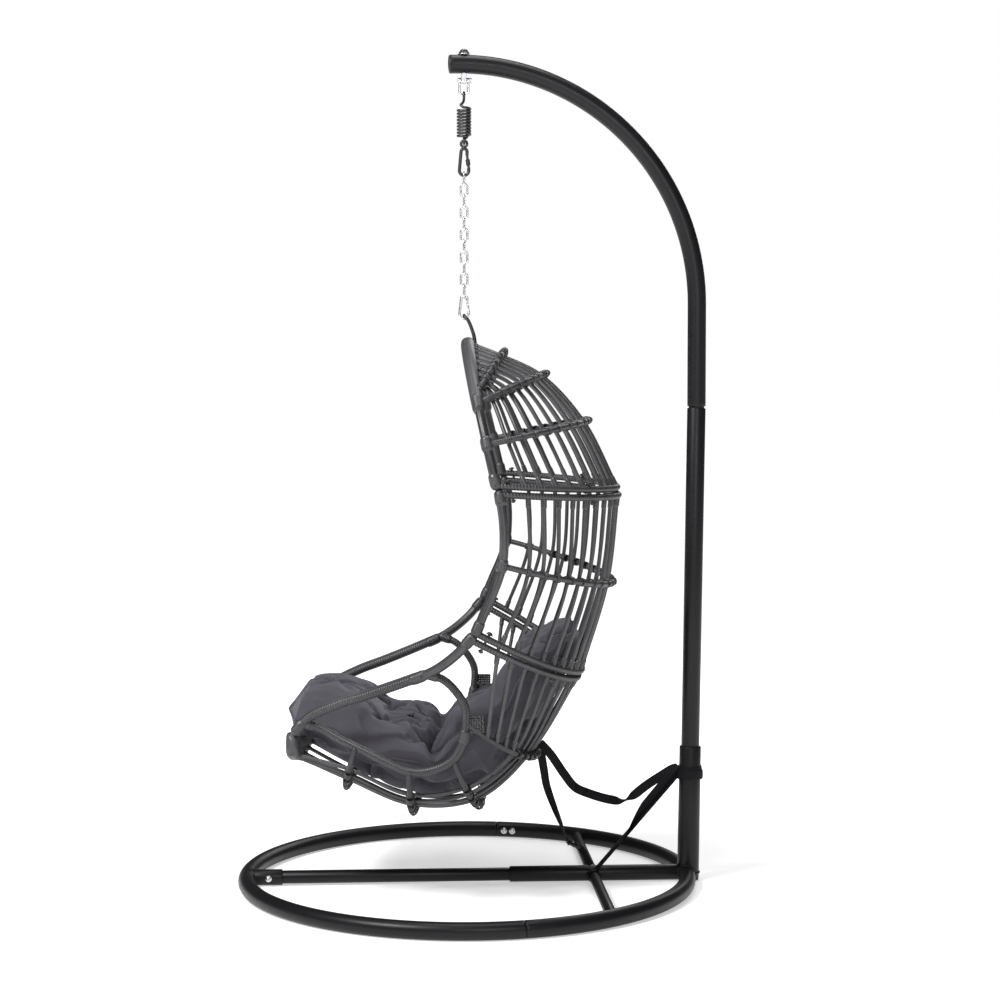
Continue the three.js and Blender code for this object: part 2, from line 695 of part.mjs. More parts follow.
function backFrame() {
  const ribs = [BACK_TOP, BACK_MIDDLE, BACK_BOTTOM].map((shape) => new Rib(shape));
  const pieces = [
    bar(ribs[0], SECTION_RING, 6, 18),
    bar(ribs[1], HOOP, 4, 16),
    bar(ribs[2], SECTION_RING, 6, 18),
    sideRim(1),
    sideRim(-1),
  ];
  for (let k = 0; k < SPINDLE_COUNT; k++) {
    const angle = spindleAngle(k, FIRST_SPINDLE);
    const points = [ribs[0].at(angle), ribs[1].inside(angle), ribs[2].at(angle)];
    pieces.push(bar(spline(points), SPINDLE, 3, 4));
  }
  return cut(joined(pieces), [
    ...boltHoles(HOOD_RING, BACK_TOP),
    ...boltHoles(BACK_BOTTOM, SEAT_RING),
  ]);
}

const ARM_POINTS = [
  [385, 28, 612],
  [375, -2, 578],
  [360, -38, 548],
  [345, -68, 530],
  [325, -123, 507],
  [300, -202, 477],
  [280, -270, 453],
  [262, -330, 423],
  [253, -360, 392],
];
const SIDE_LOOP_POINTS = [
  [343, -70, 530],
  [340, -34, 517],
  [338, -7, 491],
  [335, 12, 458],
  [330, 14, 424],
  [325, 4, 374],
  [315, -18, 339],
  [305, -58, 317],
  [300, -104, 312],
  [295, -158, 332],
  [285, -204, 353],
  [270, -259, 377],
  [257, -310, 402],
  [255, -345, 410],
];

// The seat's front rail: a rounded board that bows forwards and sags between its ends.
function frontRail() {
  const { half, endY, endZ, depth, height, bow, sag } = RAIL;
  const section = new THREE.Shape();
  section.absellipse(0, 0, depth / 2, height / 2, 0, 2 * Math.PI, false, 0);
  const board = new THREE.ExtrudeGeometry(section, {
    depth: 2 * half,
    steps: 8,
    bevelEnabled: false,
    curveSegments: 5,
  });
  board.translate(0, 0, -half);
  board.rotateY(Math.PI / 2);
  board.rotateX(Math.PI / 2);
  const position = board.attributes.position;
  for (let i = 0; i < position.count; i++) {
    const drop = 1 - (position.getX(i) / half) ** 2;
    position.setY(i, position.getY(i) + endY - bow * drop);
    position.setZ(i, position.getZ(i) + endZ - sag * drop);
  }
  return board;
}

const RAIL_CURVE = {
  corner: { x: RAIL.half, y: RAIL.endY, z: RAIL.endZ },
  spine: { y: RAIL.endY - RAIL.bow, z: RAIL.endZ - RAIL.sag },
  flatness: 3,
};

function seatFrame() {
  const ring = new Rib(SEAT_RING);
  const rear = new Rib(REAR_RIB);
  const ribs = [LOW_RIB, MIDDLE_RIB, FRONT_RIB].map((shape) => new Rib(shape));
  const rail = new Rib(RAIL_CURVE);
  const pieces = [
    bar(ring, SECTION_RING, 6, 18),
    bar(rear, HOOP, 4, 16),
    ...ribs.map((rib) => bar(rib, HOOP, 4, 16)),
    frontRail(),
  ];
  for (const side of [1, -1]) {
    const mirrored = ([x, y, z]) => v3(side * x, y, z);
    pieces.push(bar(spline(ARM_POINTS.map(mirrored)), ARM, 6, 12));
    pieces.push(bar(spline(SIDE_LOOP_POINTS.map(mirrored)), SIDE_LOOP, 6, 18));
  }
  const outer = 4; // spindles on each side that stop at the rear rib
  for (let k = 0; k < SPINDLE_COUNT; k++) {
    const angle = spindleAngle(k, FIRST_SPINDLE);
    if (k < outer || k >= SPINDLE_COUNT - outer) {
      pieces.push(bar(spline([ring.at(angle), rear.at(angle)]), SPINDLE, 3, 1));
      continue;
    }
    const along = spindleAngle(k - outer, RIB_FIRST_SPINDLE, SPINDLE_COUNT - 2 * outer);
    const underSeat = ribs.map((rib) => rib.inside(along));
    const points = [ring.at(angle), rear.inside(angle), ...underSeat, rail.at(along)];
    pieces.push(bar(spline(points), SPINDLE, 3, 9));
  }
  return cut(joined(pieces), boltHoles(BACK_BOTTOM, SEAT_RING));
}

// The steel loop on the hood's top that the lower snap hook carries.
function hangLoop() {
  const topZ = LOWER_HOOK.bottomZ + LOWER_HOOK.wire + LOOP_WIRE + GAP;
  const radius = 11;
  const points = [v3(14, 25, 1238), v3(13, 21, 1262)];
  for (let i = 0; i <= 6; i++) {
    const a = (i / 6) * Math.PI;
    const rise = Math.sin(a);
    points.push(v3(radius * Math.cos(a), 9 * (1 - rise), topZ - radius + radius * rise));
  }
  points.push(v3(-13, 21, 1262), v3(-14, 25, 1238));
  return bar(spline(points), LOOP_WIRE, 6, 16);
}

// ---------------------------------------------------------------- chair: bolts and cushion
// The bolt that clamps two neighbouring section rings together at an angle on them.
function sectionBolt(upper, lower, angle, clearance = 0) {
  const top = new Rib(upper).at(angle);
  const bottom = new Rib(lower).at(angle);
  const along = bottom.clone().sub(top).normalize();
  const reach = SECTION_RING + SECTION_BOLT.seat;
  const head = top.clone().addScaledVector(along, -reach);
  const tail = bottom.clone().addScaledVector(along, reach + 4);
  const shank = rod(
    head.clone().addScaledVector(along, -1),
    tail,
    SECTION_BOLT.radius + clearance,
    6,
  );
  if (clearance > 0) return shank;
  const cap = rod(
    head.clone().addScaledVector(along, -SECTION_BOLT.headHeight),
    head,
    SECTION_BOLT.head,
    10,
  );
  const nut = rod(bottom.clone().addScaledVector(along, reach), tail, SECTION_BOLT.head - 1, 6);
  return joined([shank, cap, nut]);
}

const boltHoles = (upper, lower) =>
  SECTION_BOLT_ANGLES.map((angle) => sectionBolt(upper, lower, angle, GAP));

// One padded slab, bent along its middle line and dished from side to side: a sphere whose
// poles are the front edge and the top, and whose rings are squarish cross-sections.
function cushion() {
  const line = spline(CUSHION_LINE.map(([y, z]) => v3(0, y, z)));
  const sides = spline(
    CUSHION.widths.map((width, i) => v3(width / 2, CUSHION.sideForward[i], CUSHION.sideLift[i])),
  );
  const crowns = spline(CUSHION.crown.map((crown, i) => v3(crown, 100 * i, 0)));
  const geometry = new THREE.SphereGeometry(1, 18, 16);
  const position = geometry.attributes.position;
  const squarish = (value) => Math.sign(value) * Math.abs(value) ** 0.7;
  for (let i = 0; i < position.count; i++) {
    const along = position.getY(i);
    const t = 1 - Math.acos(THREE.MathUtils.clamp(along, -1, 1)) / Math.PI;
    const centre = line.getPoint(t);
    const tangent = line.getTangent(t);
    const side = sides.getPoint(t);
    const ring = Math.hypot(position.getX(i), position.getZ(i));
    const fullness = ring ** 0.3;
    const across = ring > 1e-6 ? squarish(position.getX(i) / ring) * fullness : 0;
    const up = ring > 1e-6 ? squarish(position.getZ(i) / ring) * fullness : 0;
    const dish = Math.abs(across) ** 2.4;
    const rise = up * (CUSHION.thickness / 2 + (up > 0 ? crowns.getPoint(t).x : 0));
    position.setXYZ(
      i,
      across * side.x,
      centre.y - side.y * dish - rise * tangent.z,
      centre.z + side.z * dish + rise * tangent.y,
    );
  }
  return geometry;
}

// ---------------------------------------------------------------- strap
// Flat webbing along a curve that lies near the plane x = 0: its width is across that plane.
function webbing(points, layers = 1, steps = 16) {
  const half = STRAP.width / 2;
  const thick = (STRAP.thickness * layers) / 2;
  const section = new THREE.Shape([
    new THREE.Vector2(-half, -thick),
    new THREE.Vector2(half, -thick),
    new THREE.Vector2(half, thick),
    new THREE.Vector2(-half, thick),
  ]);
  return new THREE.ExtrudeGeometry(section, { steps, extrudePath: spline(points) });
}

// A sleeve of webbing round a tube between two points.
function sleeve(from, to, inner) {
  const bore = rod(
    from.clone().lerp(to, -0.2),
    from.clone().lerp(to, 1.2),
    inner,
  );
  return cut(rod(from, to, inner + STRAP.thickness), [bore]);
}

// The part of the strap that stays put: a band round the post's socket, a doubled leg pulled
// tight down to the base, and a loop round the cross tube.
function strapStandLeg() {
  const { bandZ, width } = STRAP;
  const band = sleeve(postPoint(bandZ - width), postPoint(bandZ + width), SOCKET_OUTER + CUT_GAP);
  const loopInner = CROSS_TUBE + CUT_GAP;
  const loop = sleeve(
    v3(BASE_LOOP_X - width / 2, CROSS_Y, TUBE_Z),
    v3(BASE_LOOP_X + width / 2, CROSS_Y, TUBE_Z),
    loopInner,
  );
  const top = v3(0, postY(bandZ) - SOCKET_OUTER - CUT_GAP - 1, bandZ);
  const foot = v3(BASE_LOOP_X, CROSS_Y + 4, TUBE_Z + loopInner + 1);
  return joined([band, loop, webbing([top, foot], 2, 1)]);
}

function strapRearLeg() {
  const start = postY(STRAP.bandZ) - SOCKET_OUTER - CUT_GAP - STRAP.thickness - GAP;
  return webbing([
    v3(CHAIR_TIE.x, CHAIR_TIE.y + 12, CHAIR_TIE.z),
    v3(12, 200, 287),
    v3(11, 225, 251),
    v3(9, 248, 221),
    v3(7, 282, 205),
    v3(5, 328, 191),
    v3(4, 363, 188),
    v3(2, 420, 226),
    v3(0, start, 268),
  ]);
}

const BUCKLE = { y: 226, z: 96, length: 34, width: 28, thickness: 9 };

function strapFrontLeg() {
  return webbing([
    v3(CHAIR_TIE.x, CHAIR_TIE.y - 2, CHAIR_TIE.z - 10),
    v3(CHAIR_TIE.x, 178, 262),
    v3(14, 182, 227),
    v3(16, 200, 175),
    v3(18, 217, 132),
    v3(20, BUCKLE.y - 3, BUCKLE.z + BUCKLE.length / 2 + GAP),
  ]);
}

// The buckle: a flat frame with two slots, and the short tail from it to the base loop.
function strapBuckle() {
  const plate = new THREE.BoxGeometry(BUCKLE.width, BUCKLE.thickness, BUCKLE.length);
  const slots = [-1, 1].map((end) => {
    const slot = new THREE.BoxGeometry(STRAP.width + 1, 2 * BUCKLE.thickness, 5);
    slot.translate(0, 0, (end * BUCKLE.length) / 4);
    return slot;
  });
  const frame = cut(plate, slots);
  frame.rotateX(THREE.MathUtils.degToRad(35));
  frame.translate(21, BUCKLE.y, BUCKLE.z);
  return frame;
}

function strapTail() {
  return webbing([
    v3(23, BUCKLE.y + 13, BUCKLE.z - 16),
    v3(26, 252, 66),
    v3(31, 268, 50),
    v3(BASE_LOOP_X, CROSS_Y - 8, TUBE_Z + CROSS_TUBE + 9),
  ], 1, 6);
}

// ---------------------------------------------------------------- put together
const stand = new THREE.Group();
stand.position.y = RING_Y;
stand.add(
  named("base_rear_ring", rearRing(), POWDER_COAT),
  named("base_front_ring_right", frontRing(1), POWDER_COAT),
  named("base_front_ring_left", frontRing(-1), POWDER_COAT),
  named("base_front_tee", frontTee(), POWDER_COAT),
  named("base_centre_tube_front", frontCentreTube(), POWDER_COAT),
  named("base_centre_tube_rear", rearCentreTube(), POWDER_COAT),
  named("base_cross_tube_right", crossTube(1), POWDER_COAT),
  named("base_cross_tube_left", crossTube(-1), POWDER_COAT),
  named("base_front_bolt", teeBolt(3, 5.5), ZINC),
  named("post_socket", postSocket(), POWDER_COAT),
  named("lower_post", lowerPost(), POWDER_COAT),
  named("upper_arch", upperArch(), POWDER_COAT),
  named("arch_end_cap", archEndCap(), BLACK_PLASTIC),
);
stand.add(
  named("strap_stand_leg", strapStandLeg(), WEBBING),
  named("strap_chair_leg_rear", strapRearLeg(), WEBBING),
  named("strap_chair_leg_front", strapFrontLeg(), WEBBING),
  named("strap_buckle", strapBuckle(), BLACK_STEEL),
  named("strap_tail", strapTail(), WEBBING),
);
for (const [side, angles] of [["right", BOLT_ANGLES], ["left", BOLT_ANGLES.map((a) => Math.PI - a)]]) {
  angles.forEach((angle, i) => {
    stand.add(named(`ring_bolt_${side}_${i + 1}`, ringJointBolt(angle), ZINC));
  });
}

const hanging = new THREE.Group();
hanging.position.y = RING_Y + HANG_Y;
hanging.rotation.z = CHAIR_TURN;
hanging.add(
  named("hanger_lug_bolt", lugBolt(), ZINC),
  named("hanger_washer", hangerWasher(), ZINC),
  named("hanger_domed_nut", domedNut(), BLACK_STEEL),
  named("shackle", shackle(), ZINC),
  named("shackle_pin", shacklePin(), ZINC),
  named("shackle_nut", shackleNut(), ZINC),
  named("spring", spring(), BLACK_STEEL),
  named("upper_snap_hook", upperSnapHook(), BLACK_STEEL),
  named("upper_snap_gate", upperSnapGate(), BLACK_STEEL),
  named("lower_snap_hook", lowerSnapHook(), ZINC),
  named("lower_snap_gate", lowerSnapGate(), ZINC),
  named("hang_loop", hangLoop(), BLACK_STEEL),
  named("hood_frame", hoodFrame(), WICKER),
  named("back_frame", backFrame(), WICKER),
  named("seat_frame", seatFrame(), WICKER),
);
for (const [joint, upper, lower] of [
  ["hood", HOOD_RING, BACK_TOP],
  ["seat", BACK_BOTTOM, SEAT_RING],
]) {
  SECTION_BOLT_ANGLES.forEach((angle, i) => {
    hanging.add(named(`${joint}_bolt_${i + 1}`, sectionBolt(upper, lower, angle), BLACK_STEEL));
  });
}
hanging.add(named("cushion", cushion(), CUSHION_FABRIC));
for (let i = 0; i < LINK.count; i++) {
  hanging.add(named(`chain_link_${String(i + 1).padStart(2, "0")}`, chainLink(i), ZINC));
}

const chair = new THREE.Group();
chair.add(stand, hanging);

export default chair;
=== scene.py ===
"""The looks of a hanging egg chair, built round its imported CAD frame. Metres, +Z up, floor at z = 0.

The chair faces -Y. Its wicker shell is drawn in chair space, whose Z axis is the line that it hangs on,
and chair_space() turns those points into the frame's own."""

import json
import math

import bpy
import numpy as np
from mathutils import Vector
from mathutils.bvhtree import BVHTree
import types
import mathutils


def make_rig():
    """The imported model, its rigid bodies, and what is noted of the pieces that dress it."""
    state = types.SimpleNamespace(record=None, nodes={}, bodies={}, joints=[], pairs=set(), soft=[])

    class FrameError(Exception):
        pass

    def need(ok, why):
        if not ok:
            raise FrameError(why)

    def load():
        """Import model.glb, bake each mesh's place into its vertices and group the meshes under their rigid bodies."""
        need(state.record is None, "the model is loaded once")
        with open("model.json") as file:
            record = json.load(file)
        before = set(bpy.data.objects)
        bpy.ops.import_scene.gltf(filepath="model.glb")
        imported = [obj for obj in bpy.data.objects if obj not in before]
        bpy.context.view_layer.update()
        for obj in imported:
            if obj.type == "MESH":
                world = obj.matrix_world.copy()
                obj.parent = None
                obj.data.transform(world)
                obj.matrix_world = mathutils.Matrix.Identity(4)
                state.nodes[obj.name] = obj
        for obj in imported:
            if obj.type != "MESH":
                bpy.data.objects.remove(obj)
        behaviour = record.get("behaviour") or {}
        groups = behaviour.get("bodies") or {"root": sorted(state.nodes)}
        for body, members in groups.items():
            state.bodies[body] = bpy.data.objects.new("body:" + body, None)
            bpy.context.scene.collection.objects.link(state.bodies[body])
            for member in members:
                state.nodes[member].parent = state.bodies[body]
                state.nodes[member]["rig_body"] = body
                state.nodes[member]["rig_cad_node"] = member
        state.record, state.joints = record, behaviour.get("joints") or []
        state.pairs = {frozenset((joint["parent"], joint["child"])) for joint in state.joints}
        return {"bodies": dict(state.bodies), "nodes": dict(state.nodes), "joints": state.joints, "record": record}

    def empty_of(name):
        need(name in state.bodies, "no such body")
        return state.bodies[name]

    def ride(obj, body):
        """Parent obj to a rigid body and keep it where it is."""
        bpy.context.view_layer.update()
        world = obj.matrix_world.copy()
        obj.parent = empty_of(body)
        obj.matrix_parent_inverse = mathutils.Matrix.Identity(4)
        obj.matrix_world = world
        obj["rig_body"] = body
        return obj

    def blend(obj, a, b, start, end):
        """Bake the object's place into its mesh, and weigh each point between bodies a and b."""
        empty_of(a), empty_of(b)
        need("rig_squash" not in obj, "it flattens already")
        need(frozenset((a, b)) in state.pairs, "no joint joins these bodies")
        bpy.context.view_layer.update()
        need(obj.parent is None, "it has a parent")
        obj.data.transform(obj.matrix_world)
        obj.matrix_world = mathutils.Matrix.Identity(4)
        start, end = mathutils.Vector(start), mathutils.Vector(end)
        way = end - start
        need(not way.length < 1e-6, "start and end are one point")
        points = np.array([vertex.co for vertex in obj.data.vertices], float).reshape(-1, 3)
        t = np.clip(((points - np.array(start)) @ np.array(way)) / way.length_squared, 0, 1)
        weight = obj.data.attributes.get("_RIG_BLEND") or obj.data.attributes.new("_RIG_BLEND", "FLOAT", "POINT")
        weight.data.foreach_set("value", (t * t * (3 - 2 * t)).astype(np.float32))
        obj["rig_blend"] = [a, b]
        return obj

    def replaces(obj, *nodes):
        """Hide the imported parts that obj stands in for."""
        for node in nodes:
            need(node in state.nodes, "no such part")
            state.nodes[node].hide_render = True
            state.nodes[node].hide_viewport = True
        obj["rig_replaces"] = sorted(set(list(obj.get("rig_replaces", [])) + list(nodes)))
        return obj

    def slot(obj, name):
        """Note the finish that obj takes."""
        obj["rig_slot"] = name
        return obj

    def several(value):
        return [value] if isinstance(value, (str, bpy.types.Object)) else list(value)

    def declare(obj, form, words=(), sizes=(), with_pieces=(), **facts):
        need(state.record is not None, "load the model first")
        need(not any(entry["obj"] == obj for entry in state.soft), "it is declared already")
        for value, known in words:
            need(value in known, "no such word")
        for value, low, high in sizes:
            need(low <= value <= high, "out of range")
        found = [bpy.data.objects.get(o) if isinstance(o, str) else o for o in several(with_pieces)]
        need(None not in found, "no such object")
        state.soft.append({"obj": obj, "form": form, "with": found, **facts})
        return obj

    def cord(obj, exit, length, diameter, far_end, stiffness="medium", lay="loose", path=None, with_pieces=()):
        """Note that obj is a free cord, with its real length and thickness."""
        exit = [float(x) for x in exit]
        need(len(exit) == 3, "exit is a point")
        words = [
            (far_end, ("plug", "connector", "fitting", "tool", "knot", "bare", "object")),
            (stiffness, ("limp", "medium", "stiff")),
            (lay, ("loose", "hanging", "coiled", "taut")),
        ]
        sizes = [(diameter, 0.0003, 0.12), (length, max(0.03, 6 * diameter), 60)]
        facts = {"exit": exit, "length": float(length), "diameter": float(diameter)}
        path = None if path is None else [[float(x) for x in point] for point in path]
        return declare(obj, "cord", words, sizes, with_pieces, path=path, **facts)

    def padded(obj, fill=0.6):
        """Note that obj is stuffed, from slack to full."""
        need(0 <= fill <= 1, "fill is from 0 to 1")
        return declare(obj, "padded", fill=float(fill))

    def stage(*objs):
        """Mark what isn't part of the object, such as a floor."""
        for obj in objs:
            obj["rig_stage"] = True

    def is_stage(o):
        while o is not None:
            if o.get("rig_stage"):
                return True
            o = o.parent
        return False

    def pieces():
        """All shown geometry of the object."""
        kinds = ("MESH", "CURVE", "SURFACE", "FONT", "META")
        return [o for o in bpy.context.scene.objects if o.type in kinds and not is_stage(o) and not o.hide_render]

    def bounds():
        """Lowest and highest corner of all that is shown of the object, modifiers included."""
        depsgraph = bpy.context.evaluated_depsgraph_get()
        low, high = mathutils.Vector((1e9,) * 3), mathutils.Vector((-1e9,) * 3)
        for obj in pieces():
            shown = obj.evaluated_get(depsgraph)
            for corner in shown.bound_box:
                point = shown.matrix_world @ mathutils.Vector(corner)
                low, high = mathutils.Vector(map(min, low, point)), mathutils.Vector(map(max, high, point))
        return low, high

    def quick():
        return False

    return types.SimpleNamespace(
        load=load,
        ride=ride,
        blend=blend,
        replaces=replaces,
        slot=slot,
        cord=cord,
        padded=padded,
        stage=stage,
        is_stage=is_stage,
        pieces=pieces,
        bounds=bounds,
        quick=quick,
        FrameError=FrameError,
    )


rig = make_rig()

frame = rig.load()
CAD_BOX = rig.bounds()

# ---------------------------------------------------------------- driving dimensions
RING_Y = -0.012  # the base ring's centre
RING_RADIUS = 0.505
RING_TUBE = 0.019
RING_GAP = 0.0006  # at each joint in the ring
SPLIT_ANGLE = math.asin(0.098 / RING_RADIUS)  # where the rear arc meets the front arcs
TEE_ANGLE = 0.07  # half the front tee's share of the ring
TUBE_Z = 0.019  # every base tube's centreline
FRONT_TUBE = 0.015
TEE_SOCKET = 0.018
TEE_SOCKET_LENGTH = 0.062
REAR_TUBE = 0.018
TELESCOPE_Y = 0.098
CROSS_TUBE = 0.0125
CROSS_Y = 0.290

POST_TUBE = 0.021
POST_FOOT = (0.513, 0.070)  # y from the ring's centre, z
POST_HEAD = (0.527, 1.093)
SOCKET_RADIUS = 0.025
SOCKET_TOP_Z = 0.313
NECK_GAP = 0.004
ARCH_RADIUS = 0.540
ARCH_Z = 1.330
ARCH_END_ANGLE = math.radians(2.5)
ARCH_TOP_Z = ARCH_Z + ARCH_RADIUS

HANG_Y = RING_Y - 0.006  # the vertical line that everything hangs on
CHAIR_TURN = math.radians(-4.2)

# ---------------------------------------------------------------- curves
def spaced(path, spacing, closed=False):
    """A polyline's points at an even spacing along it."""
    path = np.asarray(path, float)
    if closed:
        path = np.vstack([path, path[:1]])
    steps = np.linalg.norm(np.diff(path, axis=0), axis=1)
    along = np.concatenate([[0], np.cumsum(steps)])
    count = max(2, int(round(along[-1] / spacing)) + 1)
    at = np.linspace(0, along[-1], count)
    even = np.stack([np.interp(at, along, path[:, k]) for k in range(3)], axis=1)
    return even[:-1] if closed else even


def smooth_curve(points, fine=24):
    """A centripetal Catmull-Rom curve, as `fine` points for each stretch between two of its own."""
    p = np.asarray(points, float)
    p = np.vstack([2 * p[0] - p[1], p, 2 * p[-1] - p[-2]])
    gap = np.sqrt(np.linalg.norm(np.diff(p, axis=0), axis=1))[:, None]
    s = np.linspace(0, 1, fine, endpoint=False)[:, None]
    curve = []
    for i in range(1, len(p) - 2):
        d0, d1, d2 = gap[i - 1], gap[i], gap[i + 1]
        leave = (p[i] - p[i - 1]) / d0 - (p[i + 1] - p[i - 1]) / (d0 + d1) + (p[i + 1] - p[i]) / d1
        reach = (p[i + 1] - p[i]) / d1 - (p[i + 2] - p[i]) / (d1 + d2) + (p[i + 2] - p[i + 1]) / d2
        leave, reach = leave * d1, reach * d1
        cubic = 2 * p[i] - 2 * p[i + 1] + leave + reach
        square = -3 * p[i] + 3 * p[i + 1] - 2 * leave - reach
        curve.append(p[i] + leave * s + square * s**2 + cubic * s**3)
    return np.vstack([*curve, p[-2:-1]])


def spline(points, spacing=0.004, fine=24):
    """A centripetal Catmull-Rom curve through points, as evenly spaced points."""
    return spaced(smooth_curve(points, fine), spacing)


def circle(centre, radius, start, end, across=(1, 0, 0), up=(0, 0, 1), count=48):
    """Points on an arc in the plane of across and up."""
    a = np.linspace(start, end, count)[:, None]
    return np.array(centre) + radius * (np.cos(a) * np.array(across) + np.sin(a) * np.array(up))


def directions(path, closed=False):
    """Unit tangents of a polyline."""
    if closed:
        d = np.roll(path, -1, axis=0) - np.roll(path, 1, axis=0)
    else:
        d = np.gradient(path, axis=0)
    return d / np.linalg.norm(d, axis=1)[:, None]


def frames(path, up=None, closed=False):
    """Tangent, side and up vectors along a path: turning as little as they can, or held to up."""
    t = directions(path, closed)
    if up is not None:
        side = np.cross(np.asarray(up, float), t)
        side /= np.linalg.norm(side, axis=1)[:, None]
        return t, side, np.cross(t, side)
    side = np.empty_like(t)
    first = np.cross((0.0, 0.0, 1.0) if abs(t[0][2]) < 0.9 else (0.0, 1.0, 0.0), t[0])
    side[0] = first / np.linalg.norm(first)
    for i in range(1, len(t)):
        kept = side[i - 1] - t[i] * (side[i - 1] @ t[i])
        side[i] = kept / np.linalg.norm(kept)
    return t, side, np.cross(t, side)


def chair_space(points):
    """Points given from the hang line, turned to where the chair hangs."""
    p = np.asarray(points, float)
    c, s = math.cos(CHAIR_TURN), math.sin(CHAIR_TURN)
    x, y, z = p[..., 0], p[..., 1], p[..., 2]
    return np.stack([c * x - s * y, s * x + c * y + HANG_Y, z], -1)


def from_ring(points):
    """Points given from the base ring's centre."""
    return np.asarray(points, float) + np.array([0, RING_Y, 0])


# ---------------------------------------------------------------- meshes
class Shape:
    """Gathers swept pieces and makes one smooth-shaded mesh object of them."""

    def __init__(self):
        self.points, self.faces, self.smooth = [], [], []
        self.strands, self.depths, self.count = [], [], 0

    def add(self, points, faces, strand=None, depth=None, smooth=True):
        """Points, and groups of faces of which the first is smooth-shaded. strand is each point's
        place on a swept strand, and depth goes from 0 in its grooves to 1 on its crowns."""
        self.points.append(points)
        self.depths.append(np.ones(len(points)) if depth is None else depth)
        self.strands.append(np.zeros_like(points) if strand is None else strand)
        for i, group in enumerate(faces):
            self.faces.append(np.asarray(group) + self.count)
            self.smooth.append(np.full(len(group), smooth and i == 0))
        self.count += len(points)
        return self

    def object(self, name, look, slot, body=None, replaces=()):
        """The mesh object of what was gathered, riding on a body and standing for CAD nodes."""
        points = np.vstack(self.points)
        corners = np.concatenate([f.ravel() for f in self.faces])
        sizes = np.concatenate([np.full(len(f), f.shape[1]) for f in self.faces])
        mesh = bpy.data.meshes.new(name)
        mesh.vertices.add(len(points))
        mesh.vertices.foreach_set("co", points.astype(np.float32).ravel())
        mesh.loops.add(len(corners))
        mesh.loops.foreach_set("vertex_index", corners.astype(np.int32))
        mesh.polygons.add(len(sizes))
        starts = np.concatenate([[0], np.cumsum(sizes)[:-1]])
        mesh.polygons.foreach_set("loop_start", starts.astype(np.int32))
        mesh.polygons.foreach_set("use_smooth", np.concatenate(self.smooth))
        strand = mesh.attributes.new("strand", "FLOAT_VECTOR", "POINT")
        strand.data.foreach_set("vector", np.vstack(self.strands).astype(np.float32).ravel())
        # relief is the mask from which the wicker materials paint shade into the grooves
        relief = mesh.attributes.new("relief", "FLOAT", "POINT")
        relief.data.foreach_set("value", np.concatenate(self.depths).astype(np.float32))
        mesh.update(calc_edges=True)
        mesh.validate()
        mesh.materials.append(look)
        made = bpy.data.objects.new(name, mesh)
        bpy.context.scene.collection.objects.link(made)
        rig.slot(made, slot)
        if body:
            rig.ride(made, body)
        if replaces:
            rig.replaces(made, *replaces)
        return made


def grid_faces(rings, sides, closed):
    """Quads between neighbouring rings of points, faces outwards."""
    i = np.arange(rings if closed else rings - 1)[:, None]
    j = np.arange(sides)[None, :]
    here, after = i * sides, ((i + 1) % rings) * sides
    turn = (j + 1) % sides
    quads = np.stack([here + j, here + turn, after + turn, after + j], -1)
    return quads.reshape(-1, 4)


EDGE = 0.0012  # the worn round on a tube's cut end
GROOVE = 0.0014  # a strand's groove of this depth gets the full painted shade that the wicker materials put in grooves
ROUND_END = np.radians([80, 55, 28])  # rings of a rounded end, from its tip inwards


def sweep(shape, path, radius, sides=12, relief=None, flat=1.0, up=None, closed=False, ends="round"):
    """Adds a tube along path: radius in metres, flat the share of it kept along up, and
    relief(along, angle) a height added to it. Its ends are round, or cut off square."""
    path = np.array(path, float)
    t, side, high = frames(path, up, closed)
    steps = np.linalg.norm(np.diff(path, axis=0), axis=1)
    along = np.concatenate([[0], np.cumsum(steps)])
    scale = np.ones(len(path))
    if not closed:
        reach = np.min(radius) * min(1.0, flat)
        if ends == "round":
            out, shrink = np.sin(ROUND_END) * reach, np.cos(ROUND_END)
        else:
            out, shrink = np.array([1, 0.7]) * EDGE, 1 - np.array([1, 0.3]) * EDGE / reach
            path[0] += t[0] * EDGE
            path[-1] -= t[-1] * EDGE
        more = len(out)
        path = np.vstack([path[0] - t[0] * out[:, None], path, path[-1] + t[-1] * out[::-1, None]])
        t, side, high = (np.vstack([[v[0]] * more, v, [v[-1]] * more]) for v in (t, side, high))
        scale = np.concatenate([shrink, scale, shrink[::-1]])
        along = np.concatenate([-out, along, along[-1] + out[::-1]])
        if np.ndim(radius):
            radius = np.concatenate([[radius[0]] * more, radius, [radius[-1]] * more])
    angle = np.linspace(0, 2 * math.pi, sides, endpoint=False)[None, :]
    r = np.broadcast_to(np.reshape(radius, (-1, 1)), (len(path), sides))
    depth = np.ones(r.shape)
    if relief:
        height = relief(along[:, None], angle) * depth
        r = r + height
        depth = np.clip(1 + height / GROOVE, 0, 1)
    r = (r * scale[:, None])[..., None]
    cos, sin = np.cos(angle)[..., None], np.sin(angle)[..., None]
    points = path[:, None] + r * (cos * side[:, None] + flat * sin * high[:, None])
    strand = np.stack(np.broadcast_arrays(along[:, None], np.cos(angle), np.sin(angle)), -1)
    rings = len(path)
    faces = [grid_faces(rings, sides, closed)]
    if not closed:
        first = np.arange(sides)[::-1]
        last = (rings - 1) * sides + np.arange(sides)
        faces += [first[None, :], last[None, :]]
    shape.add(points.reshape(-1, 3), faces, strand.reshape(-1, 3), depth.ravel())
    return shape


